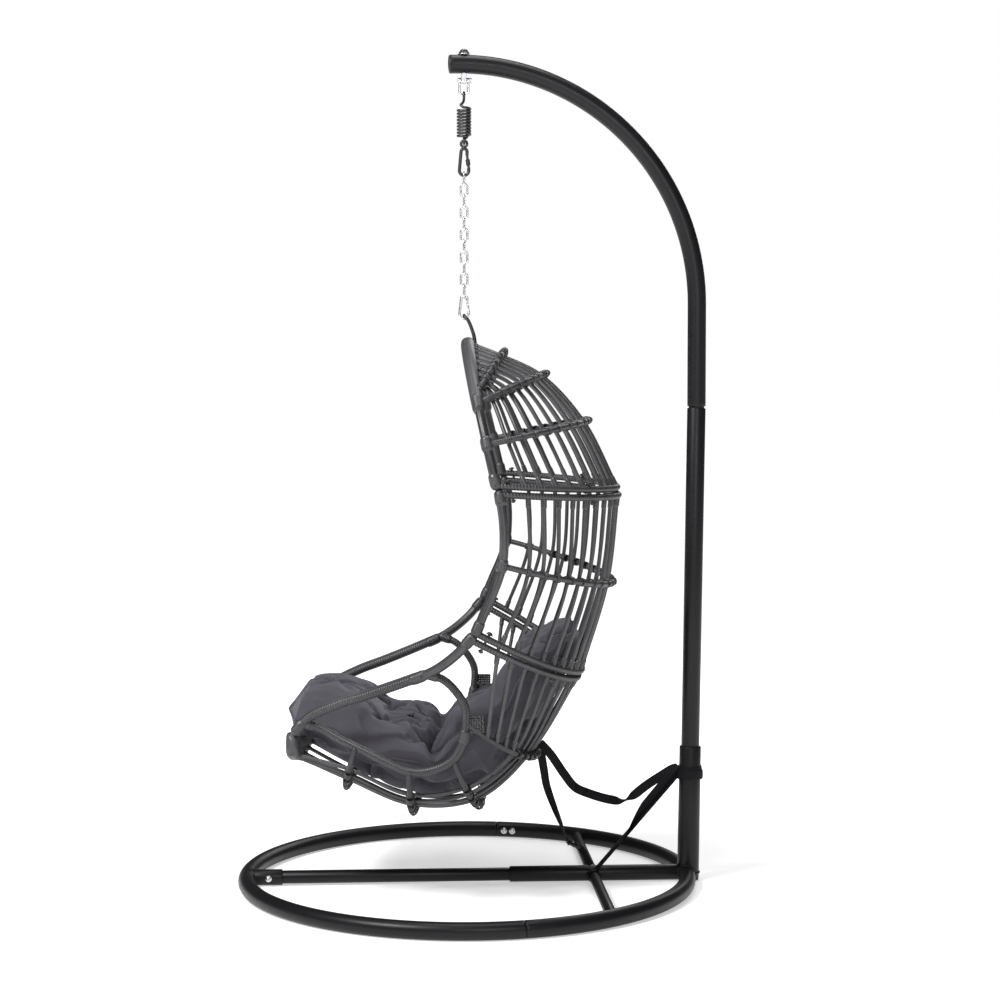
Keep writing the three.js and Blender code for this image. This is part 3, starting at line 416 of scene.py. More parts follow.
def turned(shape, profile, base, axis=(0, 0, 1), sides=32, smooth=True):
    """Adds a turned piece: profile lists (distance from the axis, distance along it), with the axis
    on its left, and starts and ends on the axis or comes back to where it started."""
    axis = np.asarray(axis, float) / np.linalg.norm(axis)
    across = np.cross(axis, (1.0, 0, 0) if abs(axis[0]) < 0.9 else (0, 1.0, 0))
    across /= np.linalg.norm(across)
    third = np.cross(axis, across)
    profile = np.asarray(profile, float)
    hollow = profile[0][0] > 1e-6
    ends = profile[[0, -1]]
    rings = profile[:-1] if hollow else profile[1:-1]
    angle = np.linspace(0, 2 * math.pi, sides, endpoint=False)[None, :, None]
    round_about = np.cos(angle) * across + np.sin(angle) * third
    points = np.asarray(base, float) + rings[:, None, :1] * round_about + rings[:, None, 1:] * axis
    faces = [grid_faces(len(rings), sides, hollow)]
    points = points.reshape(-1, 3)
    if not hollow:
        low, high = len(points), len(points) + 1
        points = np.vstack([points, np.asarray(base) + ends[:, 1:] * axis])
        j = np.arange(sides)
        k = (j + 1) % sides
        last = (len(rings) - 1) * sides
        faces.append(np.stack([np.full(sides, low), k, j], -1))
        faces.append(np.stack([np.full(sides, high), last + j, last + k], -1))
    shape.add(points, faces, smooth=smooth)
    return shape


def tube_between(shape, start, end, radius, sides=32, edge=EDGE):
    """Adds a straight bar with softened ends."""
    start, end = np.asarray(start, float), np.asarray(end, float)
    length = np.linalg.norm(end - start)
    near, far = edge * 0.3, edge
    profile = [
        (0, 0),
        (radius - far, 0),
        (radius - near, near),
        (radius, far),
        (radius, length - far),
        (radius - near, length - near),
        (radius - far, length),
        (0, length),
    ]
    return turned(shape, profile, start, end - start, sides)


# ---------------------------------------------------------------- materials
class Look:
    """A Principled material whose colour, roughness and bump come from its own nodes."""

    def __init__(self, name, roughness, metallic=0.0, **sockets):
        self.material = bpy.data.materials.new(name)
        self.material.use_nodes = True
        self.tree = self.material.node_tree
        self.shader = self.tree.nodes["Principled BSDF"]
        self.shader.inputs["Roughness"].default_value = roughness
        self.shader.inputs["Metallic"].default_value = metallic
        for socket, value in sockets.items():
            self.shader.inputs[socket.replace("_", " ")].default_value = value

    def node(self, kind, **links):
        """A new node, its inputs set to values or linked to other nodes' outputs."""
        made = self.tree.nodes.new(kind)
        for key, value in links.items():
            numbered = key[0] == "i" and key[1:].isdigit()
            socket = made.inputs[int(key[1:]) if numbered else key.replace("_", " ")]
            if isinstance(value, bpy.types.NodeSocket):
                self.tree.links.new(value, socket)
            else:
                socket.default_value = value
        return made

    def coordinates(self, scale=(1, 1, 1), strand=False):
        """Object coordinates, or the place on a swept strand: along it, and cosine and sine round it."""
        if strand:
            source = self.tree.nodes.new("ShaderNodeAttribute")
            source.attribute_name = "strand"
            vector = source.outputs["Vector"]
        else:
            vector = self.tree.nodes.new("ShaderNodeTexCoord").outputs["Object"]
        return self.node("ShaderNodeMapping", Vector=vector, Scale=scale).outputs["Vector"]

    def noise(self, vector, scale, detail=3.0, roughness=0.5):
        settings = dict(Vector=vector, Scale=scale, Detail=detail, Roughness=roughness)
        return self.node("ShaderNodeTexNoise", **settings).outputs["Fac"]

    def math(self, operation, a, b=0.0):
        node = self.node("ShaderNodeMath", i0=a, i1=b)
        node.operation = operation
        return node.outputs[0]

    def between(self, factor, low, high):
        """factor, from 0 to 1, as a number from low to high."""
        node = self.node("ShaderNodeMapRange", Value=factor, To_Min=low, To_Max=high)
        return node.outputs["Result"]

    def spread(self, factor, low, high):
        """factor with low taken to 0 and high to 1."""
        node = self.node("ShaderNodeMapRange", Value=factor, From_Min=low, From_Max=high)
        return node.outputs["Result"]

    def mixed(self, factor, a, b):
        """Colour a at factor 0 and b at 1."""
        node = self.tree.nodes.new("ShaderNodeMix")
        node.data_type = "RGBA"
        for socket, value in ((node.inputs[0], factor), (node.inputs[6], a), (node.inputs[7], b)):
            if isinstance(value, bpy.types.NodeSocket):
                self.tree.links.new(value, socket)
            else:
                socket.default_value = (*value, 1.0) if np.ndim(value) else value
        return node.outputs[2]

    def painted_hollow_shade(self, colour, reach, share):
        """Painted shade: a colour that loses a share of itself where surfaces within reach close round it, from an
        ambient occlusion node.
        """
        node = self.node("ShaderNodeAmbientOcclusion", Distance=reach)
        node.samples = 8
        return self.mixed(self.between(node.outputs["AO"], share, 0.0), colour, (0.0, 0.0, 0.0))

    def set(self, socket, value):
        self.tree.links.new(value, self.shader.inputs[socket])

    def bump(self, *heights):
        """Bumps stacked from (height, strength, distance in metres)."""
        normal = None
        for height, strength, distance in heights:
            node = self.node("ShaderNodeBump", Height=height, Strength=strength, Distance=distance)
            if normal is not None:
                self.tree.links.new(normal, node.inputs["Normal"])
            normal = node.outputs["Normal"]
        self.tree.links.new(normal, self.shader.inputs["Normal"])
        return self


def powder_coat():
    look = Look("powder_coat", 0.36, Specular_IOR_Level=0.26)
    place = look.coordinates()
    peel = look.noise(place, 420, 2)
    cloud = look.noise(place, 7, 4)
    look.set("Base Color", look.mixed(cloud, (0.0050, 0.0044, 0.0056), (0.0085, 0.0076, 0.0092)))
    look.set("Roughness", look.between(look.noise(place, 60, 3), 0.32, 0.46))
    return look.bump((peel, 0.16, 0.0004)).material


def painted_steel():
    look = Look("black_steel", 0.4, Specular_IOR_Level=0.6)
    place = look.coordinates()
    scuff = look.spread(look.noise(place, 160, 4, 0.7), 0.60, 0.72)
    look.set("Base Color", look.mixed(scuff, (0.011, 0.011, 0.012), (0.045, 0.045, 0.048)))
    look.set("Roughness", look.between(look.noise(place, 90, 3), 0.28, 0.5))
    return look.bump((look.noise(place, 500, 2), 0.2, 0.0003)).material


def zinc_plate():
    look = Look("zinc", 0.25, metallic=1.0)
    place = look.coordinates()
    spangle = look.node("ShaderNodeTexVoronoi", Vector=place, Scale=260.0).outputs["Color"]
    tint = look.mixed(0.12, (0.74, 0.75, 0.77), spangle)
    look.set("Base Color", tint)
    look.set("Roughness", look.between(look.noise(place, 120, 4), 0.18, 0.38))
    return look.bump((look.noise(place, 300, 3), 0.12, 0.0003)).material


def moulded_plastic():
    look = Look("black_plastic", 0.5)
    place = look.coordinates()
    grain = look.noise(place, 900, 2)
    look.set("Base Color", look.mixed(look.noise(place, 30), (0.011, 0.011, 0.012), (0.017, 0.017, 0.018)))
    look.set("Roughness", look.between(grain, 0.42, 0.6))
    return look.bump((grain, 0.25, 0.0003)).material


def wicker(name, dark, light, streak, roughness=(0.26, 0.44)):
    """Round or flat polyethylene cane: streaks run along each strand, the tone drifts, and painted shade darkens the
    grooves between windings and the hollows that surfaces close round."""
    look = Look(name, 0.35, Specular_IOR_Level=0.6)
    along = look.coordinates((22.0, 3.2, 3.2), strand=True)
    streaks = look.noise(along, 1.6, 4, 0.6)
    fine = look.noise(look.coordinates((120.0, 14.0, 14.0), strand=True), 1.0, 3)
    drift = look.noise(look.coordinates(), 9, 3)
    streaked = look.math("MULTIPLY", streaks, streak)
    tone = look.math("ADD", streaked, look.math("MULTIPLY", drift, 1 - streak))
    relief = look.tree.nodes.new("ShaderNodeAttribute")
    relief.attribute_name = "relief"
    # painted shade: the relief attribute is 0 in the grooves between windings, and there the colour is darkened
    # towards 0.12 of the dark colour
    painted_groove_shade_mask = look.math("POWER", relief.outputs["Fac"], 1.6)
    cane = look.mixed(look.spread(tone, 0.3, 0.7), dark, light)
    groove_shaded_cane = look.mixed(painted_groove_shade_mask, tuple(0.12 * value for value in dark), cane)
    # painted shade in the hollows that surfaces within 3 cm close round, from an ambient occlusion node
    look.set("Base Color", look.painted_hollow_shade(groove_shaded_cane, 0.03, 0.75))
    look.set("Roughness", look.math("ADD", look.between(fine, *roughness), look.between(painted_groove_shade_mask, 0.3, 0.0)))
    return look.bump((streaks, 0.25, 0.0006), (fine, 0.3, 0.0004)).material


def woven_polyester():
    """The cushion's cover: a fine plain weave, with painted shade in its creases."""
    look = Look("cushion_fabric", 0.85, Sheen_Weight=0.25, Sheen_Roughness=0.45)
    look.shader.inputs["Sheen Tint"].default_value = (0.55, 0.54, 0.62, 1.0)
    look.shader.inputs["Specular IOR Level"].default_value = 0.3
    place = look.coordinates()
    threads = []
    for direction in ("X", "Z"):
        wave = look.node("ShaderNodeTexWave", Vector=place, Scale=420.0, Distortion=1.5, Detail=1.0)
        wave.bands_direction = direction
        threads.append(wave.outputs["Fac"])
    weave = look.math("MULTIPLY", threads[0], threads[1])
    cloud = look.noise(place, 14, 4, 0.6)
    fuzz = look.noise(place, 700, 2)
    cloth = look.mixed(cloud, (0.041, 0.0385, 0.048), (0.068, 0.064, 0.078))
    # painted shade in the creases and hollows, from an ambient occlusion node
    look.set("Base Color", look.painted_hollow_shade(cloth, 0.05, 0.85))
    look.set("Roughness", look.between(fuzz, 0.74, 0.95))
    return look.bump((cloud, 0.12, 0.004), (weave, 0.22, 0.0004), (fuzz, 0.15, 0.0003)).material


def strap_webbing():
    look = Look("webbing", 0.72, Specular_IOR_Level=0.2)
    place = look.coordinates()
    rib = look.node("ShaderNodeTexWave", Vector=place, Scale=260.0, Distortion=0.4)
    rib.bands_direction = "DIAGONAL"
    fuzz = look.noise(place, 800, 2)
    cloud = look.noise(place, 40, 3)
    look.set("Base Color", look.mixed(cloud, (0.0030, 0.0026, 0.0040), (0.0070, 0.0062, 0.0085)))
    look.set("Roughness", look.between(fuzz, 0.6, 0.85))
    return look.bump((rib.outputs["Fac"], 0.35, 0.0005), (fuzz, 0.2, 0.0003)).material


COAT = powder_coat()
STEEL = painted_steel()
ZINC = zinc_plate()
PLASTIC = moulded_plastic()
CANE = wicker("wicker", (0.0095, 0.0088, 0.0105), (0.074, 0.071, 0.078), 0.6)
BAND_CANE = wicker("wicker_band", (0.040, 0.038, 0.042), (0.060, 0.0575, 0.062), 0.35, (0.40, 0.55))
DARK_CANE = wicker("wicker_dark", (0.009, 0.0085, 0.0100), (0.036, 0.0345, 0.039), 0.6)
FABRIC = woven_polyester()
WEBBING = strap_webbing()


# ---------------------------------------------------------------- camera and light
CAMERA_PLACE = (4.65827, -0.20938, 1.11220)
CAMERA_AIM = (0.0, 0.06353, 0.88308)
CAMERA_LENS = 73.55
WHITE = (1.0, 1.0, 1.0, 1.0)
SKY_LIGHT = 0.06  # the white surroundings, as the object sees them
FLOOR_SIZE = 40.0
FLOOR_GLOW = (0.46, 1.0)  # near the object and far from it, so that the floor ends in white
GLOW_FROM, GLOW_TO = 0.7, 1.8  # the distances between which it rises
LAMP_AIM = (0, 0, 0.9)
LAMPS = [
    ("key", (2.3, -2.7, 4.0), (1.0, 1.0), 240.0),
    ("side", (4.4, 0.6, 2.4), (1.2, 1.2), 45.0),
    ("top", (-0.3, 0.2, 4.6), (2.0, 2.0), 80.0),
    ("back", (-3.2, 1.5, 2.6), (2.0, 2.0), 40.0),
]


def stood(name, data, position, aim):
    """A camera or lamp object at a position, looking at a point."""
    made = bpy.data.objects.new(name, data)
    bpy.context.scene.collection.objects.link(made)
    made.location = position
    made.rotation_mode = "QUATERNION"
    made.rotation_quaternion = (Vector(aim) - Vector(position)).to_track_quat("-Z", "Y")
    return made


def set_camera():
    data = bpy.data.cameras.new("camera")
    data.lens = CAMERA_LENS
    data.sensor_width = 36.0
    data.clip_start = 0.05
    data.clip_end = 200.0
    bpy.context.scene.camera = stood("camera", data, CAMERA_PLACE, CAMERA_AIM)


def set_floor():
    bpy.ops.mesh.primitive_circle_add(vertices=96, radius=FLOOR_SIZE, fill_type="NGON")
    floor = bpy.context.object
    floor.name = "floor"
    pale = Look("floor", 0.9, Specular_IOR_Level=0.0)
    pale.shader.inputs["Emission Color"].default_value = WHITE
    position = pale.coordinates()
    away = pale.node("ShaderNodeVectorMath", i0=position)
    away.operation = "LENGTH"
    far = pale.spread(away.outputs["Value"], GLOW_FROM, GLOW_TO)
    pale.set("Emission Strength", pale.between(far, *FLOOR_GLOW))
    cloud = pale.noise(position, 3)
    pale.set("Base Color", pale.mixed(cloud, (0.80, 0.80, 0.80), (0.82, 0.82, 0.82)))
    floor.data.materials.append(pale.material)
    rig.stage(floor)


def set_world():
    """White where the camera sees past the floor, and SKY_LIGHT for everything else."""
    world = bpy.data.worlds.new("studio")
    bpy.context.scene.world = world
    world.use_nodes = True
    tree = world.node_tree
    sky = tree.nodes["Background"]
    seen = tree.nodes.new("ShaderNodeLightPath").outputs["Is Camera Ray"]
    strength = tree.nodes.new("ShaderNodeMapRange")
    strength.inputs["To Min"].default_value = SKY_LIGHT
    strength.inputs["To Max"].default_value = 1.0
    tree.links.new(seen, strength.inputs["Value"])
    tree.links.new(strength.outputs["Result"], sky.inputs["Strength"])
    sky.inputs["Color"].default_value = WHITE
    bpy.context.scene.view_settings.view_transform = "Standard"
    bpy.context.scene.view_settings.look = "None"


def set_lamps():
    for name, position, size, power in LAMPS:
        data = bpy.data.lights.new(name, "AREA")
        data.shape = "RECTANGLE"
        data.size, data.size_y = size
        data.energy = power
        stood(name, data, position, LAMP_AIM)


set_camera()
set_floor()
set_world()
set_lamps()


# ---------------------------------------------------------------- stand
def ring_arc(start, end, spacing=0.006):
    """Points on the base ring's centreline, between two angles."""
    count = max(4, int(RING_RADIUS * abs(end - start) / spacing))
    a = np.linspace(start, end, count)
    points = [RING_RADIUS * np.cos(a), RING_RADIUS * np.sin(a), np.full(count, TUBE_Z)]
    return from_ring(np.stack(points, -1))


def post_point(z):
    """The middle of the post at a height: it leans back a little."""
    (foot_y, foot_z), (head_y, head_z) = POST_FOOT, POST_HEAD
    y = foot_y + (head_y - foot_y) * (z - foot_z) / (head_z - foot_z)
    return from_ring((0, y, z))


def ring_surface(p):
    """How far points are outside the base ring's tube."""
    across = np.hypot(p[:, 0], p[:, 1] - RING_Y) - RING_RADIUS
    return np.hypot(across, p[:, 2] - TUBE_Z) - RING_TUBE


def centre_surface(p):
    """How far points are outside the centre tube."""
    return np.hypot(p[:, 0], p[:, 2] - TUBE_Z) - REAR_TUBE


def weld(shape, start, middle, radius, surface, bead=0.0022):
    """Adds the bead where a tube from start meets a surface; middle is its axis's point inside it."""
    d = np.asarray(middle, float) - np.asarray(start, float)
    _, side, high = (v[0] for v in frames(np.array([[0, 0, 0], d])))
    a = np.linspace(0, 2 * math.pi, 72, endpoint=False)[:, None]
    rim = np.asarray(start, float) + radius * (np.cos(a) * side + np.sin(a) * high)
    out, inside = np.zeros(len(a)), np.ones(len(a))
    for _ in range(24):
        half = (out + inside) / 2
        clear = surface(rim + half[:, None] * d) > 0
        out, inside = np.where(clear, half, out), np.where(clear, inside, half)
    path = spaced(rim + out[:, None] * d, 0.0012, closed=True)
    path[:, 2] = np.maximum(path[:, 2], bead)
    ripple = lambda along, angle: 0.00035 * np.sin(along * 2 * math.pi / 0.0035) * np.ones_like(angle)
    return sweep(shape, path, bead, 8, relief=ripple, closed=True)


def base_ring():
    gap = RING_GAP / RING_RADIUS
    arcs = [
        ("base_rear_ring", SPLIT_ANGLE, math.pi - SPLIT_ANGLE),
        ("base_front_ring_right", -math.pi / 2 + TEE_ANGLE + gap, SPLIT_ANGLE - gap),
        ("base_front_ring_left", math.pi - SPLIT_ANGLE + gap, 1.5 * math.pi - TEE_ANGLE - gap),
    ]
    for node, start, end in arcs:
        tube = sweep(Shape(), ring_arc(start, end), RING_TUBE, 40, up=(0, 0, 1), ends="cut")
        tube.object("looks_" + node, COAT, "powder_coat", "stand", [node])
    tee = Shape()
    arc = ring_arc(-math.pi / 2 - TEE_ANGLE, -math.pi / 2 + TEE_ANGLE)
    sweep(tee, arc, RING_TUBE, 40, up=(0, 0, 1), ends="cut")
    back = from_ring((0, -RING_RADIUS + RING_TUBE + TEE_SOCKET_LENGTH, TUBE_Z))
    tube_between(tee, from_ring((0, -RING_RADIUS, TUBE_Z)), back, TEE_SOCKET)
    weld(tee, back, from_ring((0, -RING_RADIUS, TUBE_Z)), TEE_SOCKET, ring_surface)
    tee.object("looks_base_front_tee", COAT, "powder_coat", "stand", ["base_front_tee"])


def base_tubes():
    front = Shape()
    start = from_ring((0, -RING_RADIUS + RING_TUBE, TUBE_Z))
    tube_between(front, start, from_ring((0, TELESCOPE_Y + 0.01, TUBE_Z)), FRONT_TUBE)
    front.object("looks_centre_tube_front", COAT, "powder_coat", "stand", ["base_centre_tube_front"])
    rear = Shape()
    mouth = from_ring((0, TELESCOPE_Y, TUBE_Z))
    tube_between(rear, mouth, from_ring((0, RING_RADIUS, TUBE_Z)), REAR_TUBE)
    weld(rear, mouth, from_ring((0, RING_RADIUS, TUBE_Z)), REAR_TUBE, ring_surface)
    rear.object("looks_centre_tube_rear", COAT, "powder_coat", "stand", ["base_centre_tube_rear"])
    reach = math.sqrt(RING_RADIUS**2 - CROSS_Y**2)
    for side, name in ((1, "right"), (-1, "left")):
        cross = Shape()
        near, far = from_ring((0, CROSS_Y, TUBE_Z)), from_ring((side * reach, CROSS_Y, TUBE_Z))
        middle = (near + far) / 2
        tube_between(cross, near + (far - near) * 0.03, far, CROSS_TUBE)
        weld(cross, middle, far, CROSS_TUBE, ring_surface)
        weld(cross, middle, near, CROSS_TUBE, centre_surface)
        node = f"base_cross_tube_{name}"
        cross.object("looks_" + node, COAT, "powder_coat", "stand", [node])


RING_BOLTS = (0.020, 0.042)  # along the ring, from its joint
SUNK = 0.0004  # how far a screw's washer sits in the round of its tube
WASHER = 0.0009
SCREW_WASHER = [(0.5, 0), (1.28, 0), (1.34, 0.0003), (1.28, WASHER), (0.5, WASHER), (0.5, 0)]
SCREW_HEAD = [(0, 0), (1, 0), (1, 0.3), (0.86, 0.72), (0.6, 1), (0.44, 1), (0.38, 0.45), (0, 0.4)]


def screw_head(shape, position, axis, radius=0.006, height=0.0036):
    """A button head on a washer, with a dimple for the key."""
    turned(shape, [(radius * r, z) for r, z in SCREW_WASHER], position, axis)
    turned(shape, [(radius * r, WASHER + height * z) for r, z in SCREW_HEAD], position, axis)
    return shape


def ring_bolts():
    """Two screws through each joint of the ring, and the bolt through the tee's socket."""
    for side in ("right", "left"):
        for i, offset in enumerate(RING_BOLTS):
            angle = SPLIT_ANGLE + offset / RING_RADIUS
            if side == "left":
                angle = math.pi - angle
            outward = np.array([math.cos(angle), math.sin(angle), 0.0])
            position = from_ring(outward * (RING_RADIUS - RING_TUBE + SUNK)) + np.array([0, 0, TUBE_Z])
            node = f"ring_bolt_{side}_{i + 1}"
            head = screw_head(Shape(), position, -outward)
            head.object("looks_" + node, ZINC, "zinc", "stand", [node])
    position = from_ring((TEE_SOCKET - SUNK, -RING_RADIUS + RING_TUBE + TEE_SOCKET_LENGTH / 2, TUBE_Z))
    bolt = screw_head(Shape(), position, (1, 0, 0), 0.0055)
    opposite = position * np.array([-1, 1, 1])
    nut = [(0, 0), (0.0058, 0), (0.0058, 0.004), (0, 0.004)]
    turned(bolt, nut, opposite, (-1, 0, 0), 6, smooth=False)
    turned(bolt, [(0, 0.003), (0.003, 0.003), (0.003, 0.0056), (0, 0.006)], opposite, (-1, 0, 0))
    bolt.object("looks_base_front_bolt", ZINC, "zinc", "stand", ["base_front_bolt"])


def post():
    socket = Shape()
    foot, top = post_point(0.001), post_point(SOCKET_TOP_Z)
    tube_between(socket, foot, top, SOCKET_RADIUS, 48, edge=0.003)
    weld(socket, post_point(0.2), post_point(TUBE_Z), SOCKET_RADIUS, ring_surface, 0.0026)
    socket.object("looks_post_socket", COAT, "powder_coat", "stand", ["post_socket"])
    lower = tube_between(Shape(), post_point(SOCKET_TOP_Z - 0.02), post_point(POST_HEAD[1]), POST_TUBE, 48)
    lower.object("looks_lower_post", COAT, "powder_coat", "stand", ["lower_post"])
    upper = Shape()
    centre = (0, POST_HEAD[0] - ARCH_RADIUS, ARCH_Z)
    bend = circle(centre, ARCH_RADIUS, 0, math.pi / 2 + ARCH_END_ANGLE, (0, 1, 0))
    line = np.vstack([[post_point(POST_HEAD[1] + NECK_GAP)], from_ring(bend)])
    sweep(upper, spaced(line, 0.008), POST_TUBE, 48, up=(1, 0, 0), ends="cut")
    neck = post_point(POST_HEAD[1] - 0.02), post_point(POST_HEAD[1] + 0.03)
    tube_between(upper, *neck, POST_TUBE - 0.003, 48)
    upper.object("looks_upper_arch", COAT, "powder_coat", "stand", ["upper_arch"])
    out = directions(line)[-1]
    cap = [(0, -0.004), (0.0195, -0.004), (0.0195, 0.0004), (POST_TUBE, 0.0004), (POST_TUBE, 0.0012)]
    dome = [(0.0203, 0.0026), (0.0188, 0.0037), (0.013, 0.0049), (0.006, 0.0055), (0, 0.0057)]
    end = turned(Shape(), cap + dome, line[-1], out, 48)
    end.object("looks_arch_end_cap", PLASTIC, "black_plastic", "stand", ["arch_end_cap"])


base_ring()
base_tubes()
ring_bolts()
post()


# ---------------------------------------------------------------- strap
STRAP_WIDTH = 0.020
STRAP_THICKNESS = 0.0024
WEBBING_FLAT = STRAP_THICKNESS / STRAP_WIDTH
BAND_Z = 0.245
BAND_TURNS = [(0.0120, 0), (0.0025, 1.1)]  # height above BAND_Z, and webbing already under it
BASE_LOOP_X = 0.034
STRAP_GAP = 0.0006  # between the webbing and the tube that it goes round
PIECE_OVERLAP = 2  # points that a piece goes past each of its ends
SWINGING = ["chair", "chain", "spring", "shackle", "hanger", "stand"]
REAR_LEG_CUTS = [0.340, 0.400, 0.550, 0.655]  # shares of a leg where its pieces meet
FRONT_LEG_CUTS = [0.650, 0.700, 0.830, 0.940]
REAR_LEG = [
    (0.013, 0.166, 0.326),
    (0.012, 0.190, 0.300),
    (0.011, 0.223, 0.252),
    (0.009, 0.248, 0.221),
    (0.007, 0.282, 0.205),
    (0.005, 0.328, 0.191),
    (0.004, 0.363, 0.188),
    (0.002, 0.420, 0.226),
    (0.000, 0.4875, 0.268),
]
FRONT_LEG = [
    (0.013, 0.168, 0.309),
    (0.013, 0.176, 0.262),
    (0.014, 0.182, 0.227),
    (0.016, 0.200, 0.175),
    (0.018, 0.217, 0.132),
    (0.020, 0.226, 0.103),
]
TAIL = [(0.023, 0.258, 0.084), (0.026, 0.268, 0.074), (0.031, 0.276, 0.058), (0.034, 0.283, 0.045)]
THROUGH_BUCKLE = [
    (0.020, 0.226, 0.103),
    (0.021, 0.236, 0.101),
    (0.022, 0.243, 0.089),
    (0.022, 0.252, 0.092),
    (0.023, 0.258, 0.084),
]
LOOSE_FOLD = [
    (0.021, 0.230, 0.088),
    (0.021, 0.238, 0.094),
    (0.022, 0.247, 0.086),
    (0.022, 0.262, 0.076),
    (0.024, 0.270, 0.080),
]
BUCKLE_PLACE = (0.022, 0.242, 0.090)
BUCKLE_TILT = math.radians(66)
BUCKLE_WIRE = 0.0021
BUCKLE_HALF_X, BUCKLE_HALF_Z, BUCKLE_CORNER = 0.0118, 0.0148, 0.005
BUCKLE_BARS = (-0.0035, 0.0035)


def hem(along, angle):
    """Squares the webbing's section and thickens its two woven edges."""
    return 0.0006 * np.abs(np.cos(angle)) ** 8 * np.ones_like(along)


def webbing(shape, path, twist=0.0):
    """Adds webbing along a path, its width across the path's plane, turned by twist in radians."""
    t = directions(path)
    level = np.cross(t, np.cross((1.0, 0.0, 0.0), t))
    level /= np.linalg.norm(level, axis=1)[:, None]
    turn = np.reshape(twist * np.ones(len(path)), (-1, 1))
    across = np.cos(turn) * level + np.sin(turn) * np.cross(t, level)
    up = np.cross(t, across)
    return sweep(shape, path, STRAP_WIDTH / 2, 24, relief=hem, flat=WEBBING_FLAT, up=up, ends="cut")


def webbing_loop(shape, centre, radius, one, other, count, slope=0.0):
    """Adds a closed turn of webbing round a tube, its turn sloped by a rise towards `one`."""
    a = np.linspace(0, 2 * math.pi, count + 1)[:-1, None]
    out = np.cos(a) * np.array(one) + np.sin(a) * np.array(other)
    turn = centre + radius * out + np.array([[0, 0, slope]]) * np.cos(a)
    sweep(shape, turn, STRAP_WIDTH / 2, 24, relief=hem, flat=WEBBING_FLAT, up=out, closed=True)


def slack_pieces(name, line, cuts, turn):
    """A slack leg in a piece for each joint between the chair and the stand."""
    made = []
    for i, (a, b) in enumerate(zip(SWINGING, SWINGING[1:])):
        first, last = cuts[i], cuts[i + 1]
        part = slice(max(first - PIECE_OVERLAP, 0), last + PIECE_OVERLAP + 1)
        piece = webbing(Shape(), line[part], turn[part]).object(f"{name}_{i + 1}", WEBBING, "webbing")
        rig.blend(piece, a, b, start=line[first], end=line[last])
        made.append(piece)
    return made


def declare_cord(piece, path, far_end, others):
    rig.cord(
        piece,
        exit=path[0],
        length=np.linalg.norm(np.diff(path, axis=0), axis=1).sum(),
        diameter=STRAP_WIDTH,
        far_end=far_end,
        stiffness="limp",
        lay="hanging",
        path=path,
        with_pieces=others,
    )


def cut_line(points, cuts):
    """A leg's even line, and the numbers of the points where its pieces meet."""
    line = from_ring(spline(points, 0.0016))
    return line, np.round(np.array([0, *cuts, 1]) * (len(line) - 1)).astype(int)


def rear_leg():
    """The leg from the chair to the post. Its two longest pieces are declared as the cords."""
    line, cuts = cut_line(REAR_LEG, REAR_LEG_CUTS)
    turn = rear_twist(np.linspace(0, 1, len(line)))
    made = slack_pieces("looks_strap_chair_leg_rear", line, cuts, turn)
    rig.replaces(made[0], "strap_chair_leg_rear")
    declare_cord(made[0], line[: cuts[1] + 1], "object", made[2:4])
    declare_cord(made[4], line[cuts[4] :][::-1], "object", [made[1]])


def front_leg():
    """The leg from the chair down to the buckle. Its longest piece is declared as the cord."""
    line, cuts = cut_line(FRONT_LEG, FRONT_LEG_CUTS)
    turn = front_twist(np.linspace(0, 1, len(line)))
    made = slack_pieces("looks_strap_chair_leg_front", line, cuts, turn)
    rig.replaces(made[0], "strap_chair_leg_front")
    declare_cord(made[0], line[: cuts[1] + 1], "fitting", made[1:])


def rear_twist(s):
    """The rear leg shows its face to the side, but for the fold at its lowest point."""
    fold = np.exp(-(((s - 0.64) / 0.045) ** 2))
    return math.radians(72) * (1 - fold) * np.clip((1.02 - s) / 0.07, 0, 1)


def front_twist(s):
    return math.radians(68) * (1 - 0.9 * s**2)


def hung_beside(top, foot, s):
    """The loose webbing that starts at the band and meets the doubled leg lower down."""
    open_out = np.minimum(1, (1 - s) / 0.45)
    line = top + (foot - top) * s * 0.66 + np.array([0, -0.002, 0.012]) * (1 - s)
    aside = np.array([0.0, -0.007, 0.006]) * open_out * s**0.3
    return line + aside, math.radians(85) * open_out[:, 0]


def strap_on_stand():
    """The band round the post's socket, the doubled leg down to the base, and the loop there."""
    shape = Shape()
    flush = STRAP_GAP + STRAP_THICKNESS / 2
    for lift, under in BAND_TURNS:
        radius = SOCKET_RADIUS + flush + under * STRAP_THICKNESS
        webbing_loop(shape, post_point(BAND_Z + lift), radius, (1, 0, 0), (0, 1, 0), 96, 0.0015 * under)
    top = post_point(BAND_Z) - np.array([0, SOCKET_RADIUS + 0.0022, 0])
    foot = from_ring((BASE_LOOP_X, CROSS_Y + 0.004, TUBE_Z + CROSS_TUBE + 0.0018))
    s = np.linspace(0, 1, 140)[:, None]
    for side in (-1, 1):
        apart = np.array([0, 0.0016, -0.0016]) * side
        webbing(shape, top + (foot - top) * s + apart, 0.10 * side)
    webbing(shape, *hung_beside(top, foot, s))
    base = from_ring((BASE_LOOP_X, CROSS_Y, TUBE_Z))
    webbing_loop(shape, base, CROSS_TUBE + flush, (0, 0, 1), (0, 1, 0), 64)
    shape.object("looks_strap_stand_leg", WEBBING, "webbing", "stand", ["strap_stand_leg"])


def on_buckle(points):
    """Points given in the buckle's own plane, turned to where it lies."""
    c, s = math.cos(BUCKLE_TILT), math.sin(BUCKLE_TILT)
    return np.asarray(points) @ np.array([[1, 0, 0], [0, c, s], [0, -s, c]]) + from_ring(BUCKLE_PLACE)


